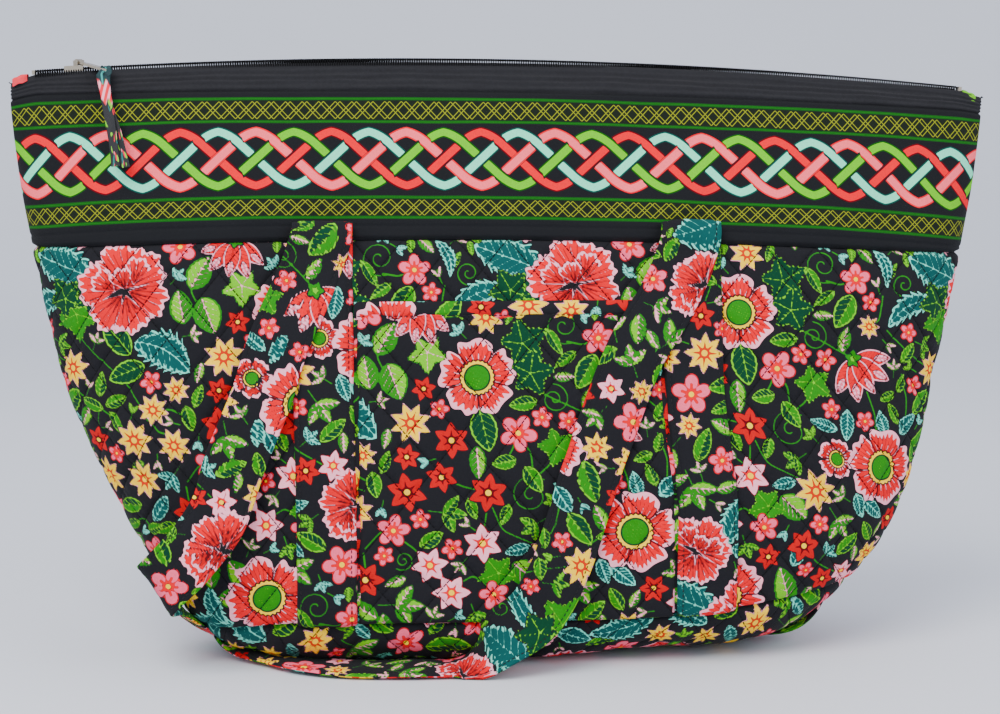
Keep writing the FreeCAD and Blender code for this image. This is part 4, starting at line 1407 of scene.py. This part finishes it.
def add_tape(side):
    """The tape from the zip's teeth down to the band, with folds along it."""
    grid, cloth = whole_width(on_side(crest, side), on_side(band_top, side), 0.9, side)
    top = grid[0]
    over = []
    for share in np.linspace(0, 1, 10)[:-1]:
        lift = 0.5 * math.sin(share * math.pi / 2)
        row = top.copy()
        row[:, 1] = np.minimum(top[:, 1] * share - 1.1 * (1 - share), 0)
        row[:, 1] = np.maximum(row[:, 1], np.minimum(top[:, 1], -1.1))
        row[:, 2] = top[:, 2] + 0.35 * (1 - share) - lift * 0.3
        over.append(row)
    grid = np.concatenate([np.array(over), grid])
    steps = np.linalg.norm(np.diff(grid, axis=0), axis=2).mean(1)
    down = np.concatenate([[0], np.cumsum(steps)])
    u = np.concatenate([np.repeat(cloth[:1, :, 0], 9, 0), cloth[..., 0]])
    cloth = np.stack([u, np.broadcast_to(down[:, None], u.shape)], 2)
    v = cloth[..., 1]
    near = np.minimum(edges(cloth, top=False), 30)
    free = np.clip((v - 7) / 8, 0, 1) * np.clip(near / 6, 0, 1)
    relief = 0.6 * free * (wander(u, v, 60, 83) + 0.5 * wander(u, v, 24, 84)) + seam_dip(near, 1.2, 1.2)
    for place_down, tall, seed in TAPE_FOLDS:
        level_line = place_down + 0.7 * wander(u, v * 0, 130, seed)
        relief += tall * np.exp(-((v - level_line) / 0.75) ** 2)
        relief -= 0.6 * tall * np.exp(-((v - level_line - 1.7) / 0.8) ** 2)
    piece = cloth_piece(f"{side}_zip_tape_cloth", grid, cloth, relief, TAPE, None, side == "back")
    place(piece, "bag", "zip_tape", f"zip_tape_{side}")


def add_coil(side):
    """Interlocked nylon teeth: one bent bar each."""
    sign = -1 if side == "front" else 1
    rings, sides, pitch = 6, 6, 1.5
    angle = np.arange(sides) * 2 * math.pi / sides
    outline = np.array([(0.55, 1.5), (-0.4, 2.3), (-2.0, 2.5), (-3.6, 2.0), (-4.9, 0.7), (-5.7, -1.6)])
    points, quads = [], []
    places = np.arange(-297.0 + (0 if side == "front" else pitch / 2), 299.5, pitch)
    for count, x in enumerate(places):
        base, ahead, up = crest_place(x, 0.1)
        middle = base + np.outer(outline[:, 0], (0, -sign, 0)) * 1.0 + np.outer(outline[:, 1], up)
        run = np.gradient(middle, axis=0)
        run /= np.linalg.norm(run, axis=1, keepdims=True)
        rise = np.cross(run, ahead)
        thick = np.array([0.34, 0.5, 0.46, 0.46, 0.46, 0.4])[:, None]
        for k in range(sides):
            points.append(middle + (math.cos(angle[k]) * ahead + math.sin(angle[k]) * rise) * thick)
        quads.append(bar_quads(sides, rings, count * sides * rings))
    mesh = mesh_from(f"{side}_zip_teeth", np.concatenate(points) * MM, np.concatenate(quads))
    mesh.materials.append(COIL)
    place(link(f"{side}_zip_teeth", mesh), "bag", "zip_coil", f"zip_coil_{side}")


def add_end_tab(name, start, end, material, slot, node):
    """A scrap of cloth folded down over both sides of the zip's end."""
    rows, columns = 17, 41
    share = np.linspace(-1, 1, columns)
    side = np.sign(share) * np.minimum(np.abs(share) / 0.45, 1) ** 0.8
    drop = np.clip((np.abs(share) - 0.4) / 0.6, 0, 1) ** 1.2
    points, flat = [], []
    for place_x in np.linspace(start, end, rows):
        base, _, up = crest_place(place_x, -float(end_droop(place_x)))
        hem = math.exp(-((place_x - start) / 0.9) ** 2) + math.exp(-((place_x - end) / 0.9) ** 2)
        for value, out, fall in zip(share, side, drop):
            wave = 0.25 * math.sin(place_x * 1.1 + value * 5)
            half = TAB_HALF * (1 - 0.12 * hem) + wave * 0.6
            rise = TAB_THICK * (1 - abs(out) ** 3) ** 0.5 * (1 - 0.4 * hem) - TAB_DROP * fall + wave
            points.append(base + np.array([0, out * half, 0]) + up * (0.2 + rise))
            flat.append((place_x, value * 10, 0))
    mesh = mesh_from(name, np.array(points) * MM, grid_quads(rows, columns))
    set_vector(mesh, "cloth", np.array(flat))
    mesh.materials.append(material)
    place(link(name, mesh), "bag", slot, node)


for side in ("front", "back"):
    add_tape(side)
    add_coil(side)
add_end_tab("left_zip_end_tab", -312.0, -302.5, CORAL_TAB, "coral_tab", "zip_end_tab_left")
add_end_tab("right_zip_end_tab", 303.0, 312.0, LIME_TAB, "lime_tab", "zip_end_tab_right")


def finish_cad(node, material, bevel=0.0):
    """A CAD node that stays, with its finish and its edges eased."""
    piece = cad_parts[node]
    for socket in piece.material_slots:
        socket.material = material
    if not piece.material_slots:
        piece.data.materials.append(material)
    if bevel:
        eased = piece.modifiers.new("eased_edges", "BEVEL")
        eased.width = bevel * MM
        eased.segments = 3
        eased.limit_method = "ANGLE"
        eased.angle_limit = math.radians(35)


finish_cad("zip_slider_body", METAL, 0.35)
finish_cad("zip_slider_bail", METAL, 0.25)
finish_cad("zip_pull_tab", METAL, 0.3)
finish_cad("zip_start_stop", METAL, 0.3)
finish_cad("zip_end_stop", METAL, 0.3)
finish_cad("base_board", CARD)

# ------------------------------------------------------------------ linings, out of sight


def lining_top(x):
    return arch(x, 371.0, ZIP_RADIUS)


def add_lining(side):
    grid, cloth = whole_width(on_side(lining_top, side), on_side(base_seam, side), 4.0, side)
    relief = -3.0 - 3.5 * np.clip((371 - grid[..., 2]) / 50, 0, 1)
    piece = cloth_piece(f"{side}_lining_cloth", grid, cloth, relief, LINING, None, side == "back")
    place(piece, "bag", "lining_cloth", f"lining_{side}")


for side in ("front", "back"):
    add_lining(side)


def add_base_lining():
    grid = np.array([seam_ring(fraction, 120) for fraction in np.linspace(0, 1, 12)])
    floor = np.array([grid[-1] * np.array([1.0, share, 1.0]) for share in np.linspace(1, 0, 8)[1:]])
    half = np.concatenate([grid, floor])
    whole = np.concatenate([half, half[::-1][1:] * np.array([1.0, -1.0, 1.0])])
    whole[..., :2] *= 0.965
    whole[..., 2] = 9.0 + whole[..., 2] * 0.9
    mesh = mesh_from("base_lining_cloth", whole.reshape(-1, 3) * MM, grid_quads(*whole.shape[:2]))
    mesh.materials.append(LINING)
    place(link("base_lining_cloth", mesh), "bag", "lining_cloth", "lining_base")


add_base_lining()


def add_inside_pocket():
    grid, cloth = patch(-105.0, 105.0, flat_height(225.0), flat_height(95.0), 3.0, "back")
    relief = -8.6 + 0.5 * wander(cloth[..., 0], cloth[..., 1], 60, 91)
    piece = cloth_piece("inside_pocket_cloth", grid, cloth, relief, LINING, None, True)
    place(piece, "bag", "lining_cloth", "interior_pocket")


add_inside_pocket()

# ------------------------------------------------------------------ handles

# Each leg of the front handle: x, height and the tilt of its width from level, in mm and
# degrees; then its run along the floor: middle of the strap and direction of its width.
HANGING_LEFT = [
    (-122, 262, -8), (-131, 240, -18), (-144, 212, -22), (-156, 176, -21), (-172, 138, -22),
    (-184, 104, -28), (-205, 77, -40),
]
HANGING_RIGHT = [
    (113, 262, -14), (102, 238, -26), (80, 204, -27), (64, 166, -22), (49, 126, -20), (38, 92, -19),
    (28, 66, -22),
]
FLOOR_RUN = [
    ((-220, -75, 61), (0.54, 0.00, -0.84)),
    ((-219, -50, 52), (0.60, -0.30, -0.75)),
    ((-211, -20, 32), (0.75, -0.50, -0.43)),
    ((-194, -4, 15), (0.35, -0.93, 0.10)),
    ((-172, -10, 6.5), (-0.40, -0.90, 0.00)),
    ((-147, -30, 3.6), (-0.70, -0.70, 0.00)),
    ((-125, -50, 2.8), (-0.55, -0.83, 0.00)),
    ((-98, -61, 2.8), (-0.20, -0.98, 0.00)),
    ((-62, -65, 3.2), (0.00, -1.00, -0.02)),
    ((-30, -66, 5.0), (0.04, -0.98, -0.06)),
    ((-6, -80, 26), (0.38, -0.42, -0.82)),
    ((11, -82, 38), (0.60, -0.20, -0.76)),
]
HANDLE_PROUD, HANDLE_THICK = 5.9, 3.2
RUN_PLACE = STRAP_HALF - 3.4        # the handle's topstitching, from its middle line


def unit(vector):
    vector = np.asarray(vector, float)
    return vector / np.linalg.norm(vector)


def surface_y(x, height):
    return -float(depth_at(np.array(float(x)), np.array(float(height))))


def hanging_station(x, height, tilt):
    """Where the strap lies against the front, the way of its width, and its outward side."""
    slope = float(level(np.array(height + 4.0), 2) - level(np.array(height - 4.0), 2))
    normal = unit((0, -8, -slope))
    middle = np.array([x, surface_y(x, height), height]) + normal * HANDLE_PROUD
    if abs(x) > 150:
        middle[1] = min(middle[1], -0.86 * float(level(np.array(float(height)), 2)))
    if height < 230:
        middle[1] = min(middle[1], -92.5 + 0.14 * height)
    turn = math.radians(tilt)
    across = np.array([math.cos(turn), 0, math.sin(turn)])
    return middle, unit(across - normal * across.dot(normal)), normal


def anchor_stations(x):
    """The strap comes up out of its sewn length and turns over to the front."""
    y = surface_y(x, 280)
    across = (1.0, 0.0, 0.0)
    return [
        (np.array([x, y - 2.2, 268.0]), np.array(across), unit((0, 1, 0.1))),
        (np.array([x, y - 2.4, 279.5]), np.array(across), unit((0, 1, 0.3))),
        (np.array([x, y - 5.4, 284.0]), np.array(across), unit((0, 0, 1))),
        (np.array([x, y - 8.2, 280.0]), np.array(across), unit((0, -1, 0.2))),
    ]


def handle_stations():
    stations = anchor_stations(-STRAP_X) + [hanging_station(*values) for values in HANGING_LEFT]
    right = [hanging_station(*values) for values in reversed(HANGING_RIGHT)]
    places = [stations[-1][0]] + [np.array(middle, float) for middle, _ in FLOOR_RUN] + [right[0][0]]
    for k, (middle, across) in enumerate(FLOOR_RUN):
        along = unit(places[k + 2] - places[k])
        across = unit(across)
        stations.append((np.array(middle, float), across, unit(np.cross(along, across))))
    stations += right + anchor_stations(STRAP_X)[::-1]
    kept = [stations[0]]
    for middle, across, normal in stations[1:]:
        if across.dot(kept[-1][1]) < 0:
            across = -across
        if normal.dot(kept[-1][2]) < 0:
            normal = -normal
        kept.append((middle, across, normal))
    return kept


def handle_frame(pitch):
    """Closely spaced middles, widths and outward sides along the whole strap."""
    middle, across, normal = (np.array(part) for part in zip(*handle_stations()))
    knots = run_length(middle)
    places = np.linspace(0, knots[-1], int(knots[-1] / pitch))
    dense = []
    for values in (middle, across, normal):
        dense.append(np.stack([smooth_through(places, knots, values[:, k]) for k in range(3)], 1))
    middle, across, normal = dense
    ahead = np.gradient(middle, axis=0)
    ahead /= np.linalg.norm(ahead, axis=1, keepdims=True)
    across -= ahead * (across * ahead).sum(1, keepdims=True)
    across /= np.linalg.norm(across, axis=1, keepdims=True)
    facing = np.cross(ahead, across)
    if facing[0].dot(normal[0]) < 0:
        facing = -facing
    along = run_length(middle)
    return middle, across, facing, along


def add_handle(side, pitch, body, node):
    """A flat padded strap along the handle's stations, with topstitching on both faces."""
    middle, across, facing, along = handle_frame(pitch)
    share = eased_share(int(42 / pitch), 1.4)
    columns = len(share)
    rows = len(along)
    s = np.concatenate([share, share[::-1][1:-1]])
    outer = np.concatenate([np.ones(columns), -np.ones(columns - 2)])
    half = STRAP_HALF * (1 + 0.012 * wander(along, along * 0, 50, 101))[:, None]
    a = np.broadcast_to(along[:, None], (rows, len(s)))
    tall = HANDLE_THICK / 2 * (1 - np.abs(s) ** 8)[None, :] ** (1 / 2.4)
    tall = tall * (1 + 0.16 * wander(a, s[None, :] * 19 * outer[None, :] * 1.5, 22, 103))
    tall = tall + 0.55 * np.cos(s[None, :] * math.pi / 2)
    for line in (-1, 1):
        tall = tall - 0.55 * np.exp(-((s[None, :] * STRAP_HALF - line * RUN_PLACE) / 0.9) ** 2)
    tall = np.where(np.abs(s)[None, :] > 0.999, 0, tall)
    cup = 0.9 * wander(along, along * 0, 90, 107)[:, None] * (s[None, :] ** 2)
    points = middle[:, None] + across[:, None] * (s[None, :] * half)[..., None]
    points = points + facing[:, None] * (tall * outer[None, :] + cup)[..., None]
    points[..., 2] = np.maximum(points[..., 2], 0.3)
    flat = np.zeros(points.shape)
    flat[..., 0] = s[None, :] * STRAP_HALF + np.where(outer > 0, 0, 60)[None, :]
    flat[..., 1] = along[:, None]
    total = turned(points.reshape(-1, 3), side)
    sense = np.cross(across[rows // 2], np.gradient(middle, axis=0)[rows // 2]).dot(facing[rows // 2])
    quads = grid_quads(rows, len(s), wrap=True, flip=sense > 0)
    mesh = mesh_from(f"{side}_handle_strap", total * MM, quads)
    set_vector(mesh, "cloth", flat.reshape(-1, 3))
    set_inks(mesh, floral_inks(flat[..., 0], flat[..., 1], 214.0, 12.0))
    mesh.materials.append(FLORAL)
    place(link(f"{side}_handle_strap", mesh), body, "floral_print", node, fill=0.4)
    runs = []
    for face in (1, -1):
        for line in (-1, 1):
            column = int(np.argmin(np.abs(share * STRAP_HALF - line * RUN_PLACE)))
            index = column if face > 0 else (len(s) - column) % len(s)
            path, up = turned(points[:, index], side), turned(facing * face, side)
            runs.append(stitches(f"{side}_handle_run_{face}_{line}", path, up, *TOPSTITCH))
    place(joined(f"{side}_handle_topstitching", runs), body, "dark_thread")


add_handle("front", 0.85, "handle_front", "front_handle")
add_handle("back", 1.3, "handle_back", "back_handle")

# ------------------------------------------------------------------ ribbon on the pull

RIBBON_ROUTE = [
    (-0.25389, -0.01394, 0.37712), (-0.25139, -0.02175, 0.35871), (-0.24539, -0.02996, 0.33938),
    (-0.24189, -0.03816, 0.32005),
]
PULL_SLOT = np.array([-253.89, -11.54, 380.72])
PULL_YAW, PULL_DROOP = math.radians(-35), math.radians(12.5)


def route_points(name, controls):
    """Points along the smooth spline that the controls make."""
    curve = bpy.data.curves.new(name, "CURVE")
    curve.dimensions = "3D"
    spline = curve.splines.new("NURBS")
    spline.points.add(len(controls) - 1)
    for point, place_at in zip(spline.points, controls):
        point.co = (*place_at, 1.0)
    spline.order_u = 3
    spline.use_endpoint_u = True
    spline.resolution_u = 24
    holder = bpy.data.objects.new(name, curve)
    bpy.context.scene.collection.objects.link(holder)
    mesh = bpy.data.meshes.new_from_object(holder)
    points = [tuple(vertex.co) for vertex in mesh.vertices]
    bpy.data.objects.remove(holder)
    bpy.data.curves.remove(curve)
    bpy.data.meshes.remove(mesh)
    return points


def add_ribbon():
    """One narrow ribbon through the pull's slot, with both of its tails hanging down."""
    path = route_points("ribbon_route", RIBBON_ROUTE)
    route = np.array(path) / MM
    ahead = np.gradient(route, axis=0)
    ahead /= np.linalg.norm(ahead, axis=1, keepdims=True)
    aside = np.array([1.0, 0.0, 0.0])
    out = np.cross(ahead, aside)
    out *= -np.sign(out[:, 1:2])
    share = np.linspace(0, 1, len(route))[:, None]
    pull = np.array([
        math.cos(PULL_DROOP) * math.cos(PULL_YAW),
        math.cos(PULL_DROOP) * math.sin(PULL_YAW),
        -math.sin(PULL_DROOP),
    ])
    over = np.array([
        math.sin(PULL_DROOP) * math.cos(PULL_YAW),
        math.sin(PULL_DROOP) * math.sin(PULL_YAW),
        math.cos(PULL_DROOP),
    ])
    front = route + out * (0.9 + 0.5 * np.sin(share * 5)) + aside * (-3.4 * share ** 1.6 + 0.5)
    behind = route - out * (0.9 - 0.3 * np.sin(share * 4)) + aside * (3.6 * share ** 1.4 - 0.4)
    loop = np.array([
        PULL_SLOT + pull * 3.9 - over * 0.6,
        PULL_SLOT + pull * 2.7 + over * 1.5,
        PULL_SLOT + pull * 0.5 + over * 1.2,
        PULL_SLOT - over * 1.0,
        PULL_SLOT + pull * 2.6 - over * 1.7,
        PULL_SLOT + pull * 3.0 - over * 3.0,
    ])
    line = np.concatenate([front[::-1], loop, behind])
    knots = run_length(line)
    places = np.linspace(0, knots[-1], 210)
    dense = np.stack([smooth_through(places, knots, line[:, k]) for k in range(3)], 1)
    top = knots[len(front) + 2]
    away = np.abs(places - top)
    half = np.interp(away, [0, 3, 9, 20, 66], [1.8, 2.3, 3.9, 3.4, 2.7])
    ahead = np.gradient(dense, axis=0)
    ahead /= np.linalg.norm(ahead, axis=1, keepdims=True)
    sway = 0.35 * np.sin(away / 11)[:, None]
    across = aside + sway * np.array([0, 1.0, 0.0])
    across = across - ahead * (across * ahead).sum(1, keepdims=True)
    across /= np.linalg.norm(across, axis=1, keepdims=True)
    facing = np.cross(across, ahead)
    s = np.concatenate([np.linspace(-1, 1, 11), np.linspace(1, -1, 11)])
    lift = np.concatenate([np.full(11, 0.2), np.full(11, -0.2)])
    bowed = 0.35 * (s ** 2)[None, :] * np.cos(away / 7)[:, None]
    points = dense[:, None] + across[:, None] * (s[None, :] * half[:, None])[..., None]
    points = points + facing[:, None] * (lift[None, :] + bowed)[..., None]
    flat = np.zeros(points.shape)
    flat[..., 0] = s[None, :] * 4.5
    flat[..., 1] = away[:, None] + np.where(places < top, 0, 0.5)[:, None]
    mesh = mesh_from("pull_ribbon", points.reshape(-1, 3) * MM, grid_quads(len(places), 22, wrap=True))
    set_vector(mesh, "cloth", flat.reshape(-1, 3))
    mesh.materials.append(RIBBON)
    piece = place(link("pull_ribbon", mesh), "ribbon", "ribbon_print", "zip_pull_ribbon")


add_ribbon()

# ------------------------------------------------------------------ stage and light


def add_stage():
    """A pale floor that curves up into a pale wall far behind."""
    profile = [(-6.0, -0.0004), (1.8, -0.0004)]
    for k in range(1, 17):
        turn = k / 16 * math.pi / 2
        profile.append((1.8 + 1.4 * math.sin(turn), 1.4 - 1.4 * math.cos(turn) - 0.0004))
    profile.append((3.2, 5.0))
    points = [(x, y, z) for y, z in profile for x in np.linspace(-6, 6, 13)]
    mesh = mesh_from("floor", points, grid_quads(len(profile), 13))
    mesh.materials.append(stage_finish("pale_stage", (208, 211, 220), (214, 216, 224)))
    link("floor", mesh)


def add_light(name, spot, aim, size, power, colour):
    data = bpy.data.lights.new(name, "AREA")
    data.shape = "DISK"
    data.size = size
    data.energy = power
    data.color = colour
    light = bpy.data.objects.new(name, data)
    light.location = spot
    light.rotation_euler = (Vector(spot) - Vector(aim)).to_track_quat("Z", "Y").to_euler()
    bpy.context.scene.collection.objects.link(light)


add_stage()
add_light("key", (-0.9, -1.5, 2.0), (0, 0, 0.2), 1.6, 70, (1.0, 0.985, 0.96))
add_light("fill", (1.7, -1.6, 1.3), (0, 0, 0.15), 1.8, 27, (0.95, 0.97, 1.0))
world = bpy.data.worlds.new("soft_room")
world.use_nodes = True
world.node_tree.nodes["Background"].inputs["Color"].default_value = (0.80, 0.84, 0.92, 1.0)
world.node_tree.nodes["Background"].inputs["Strength"].default_value = 1.4
bpy.context.scene.world = world
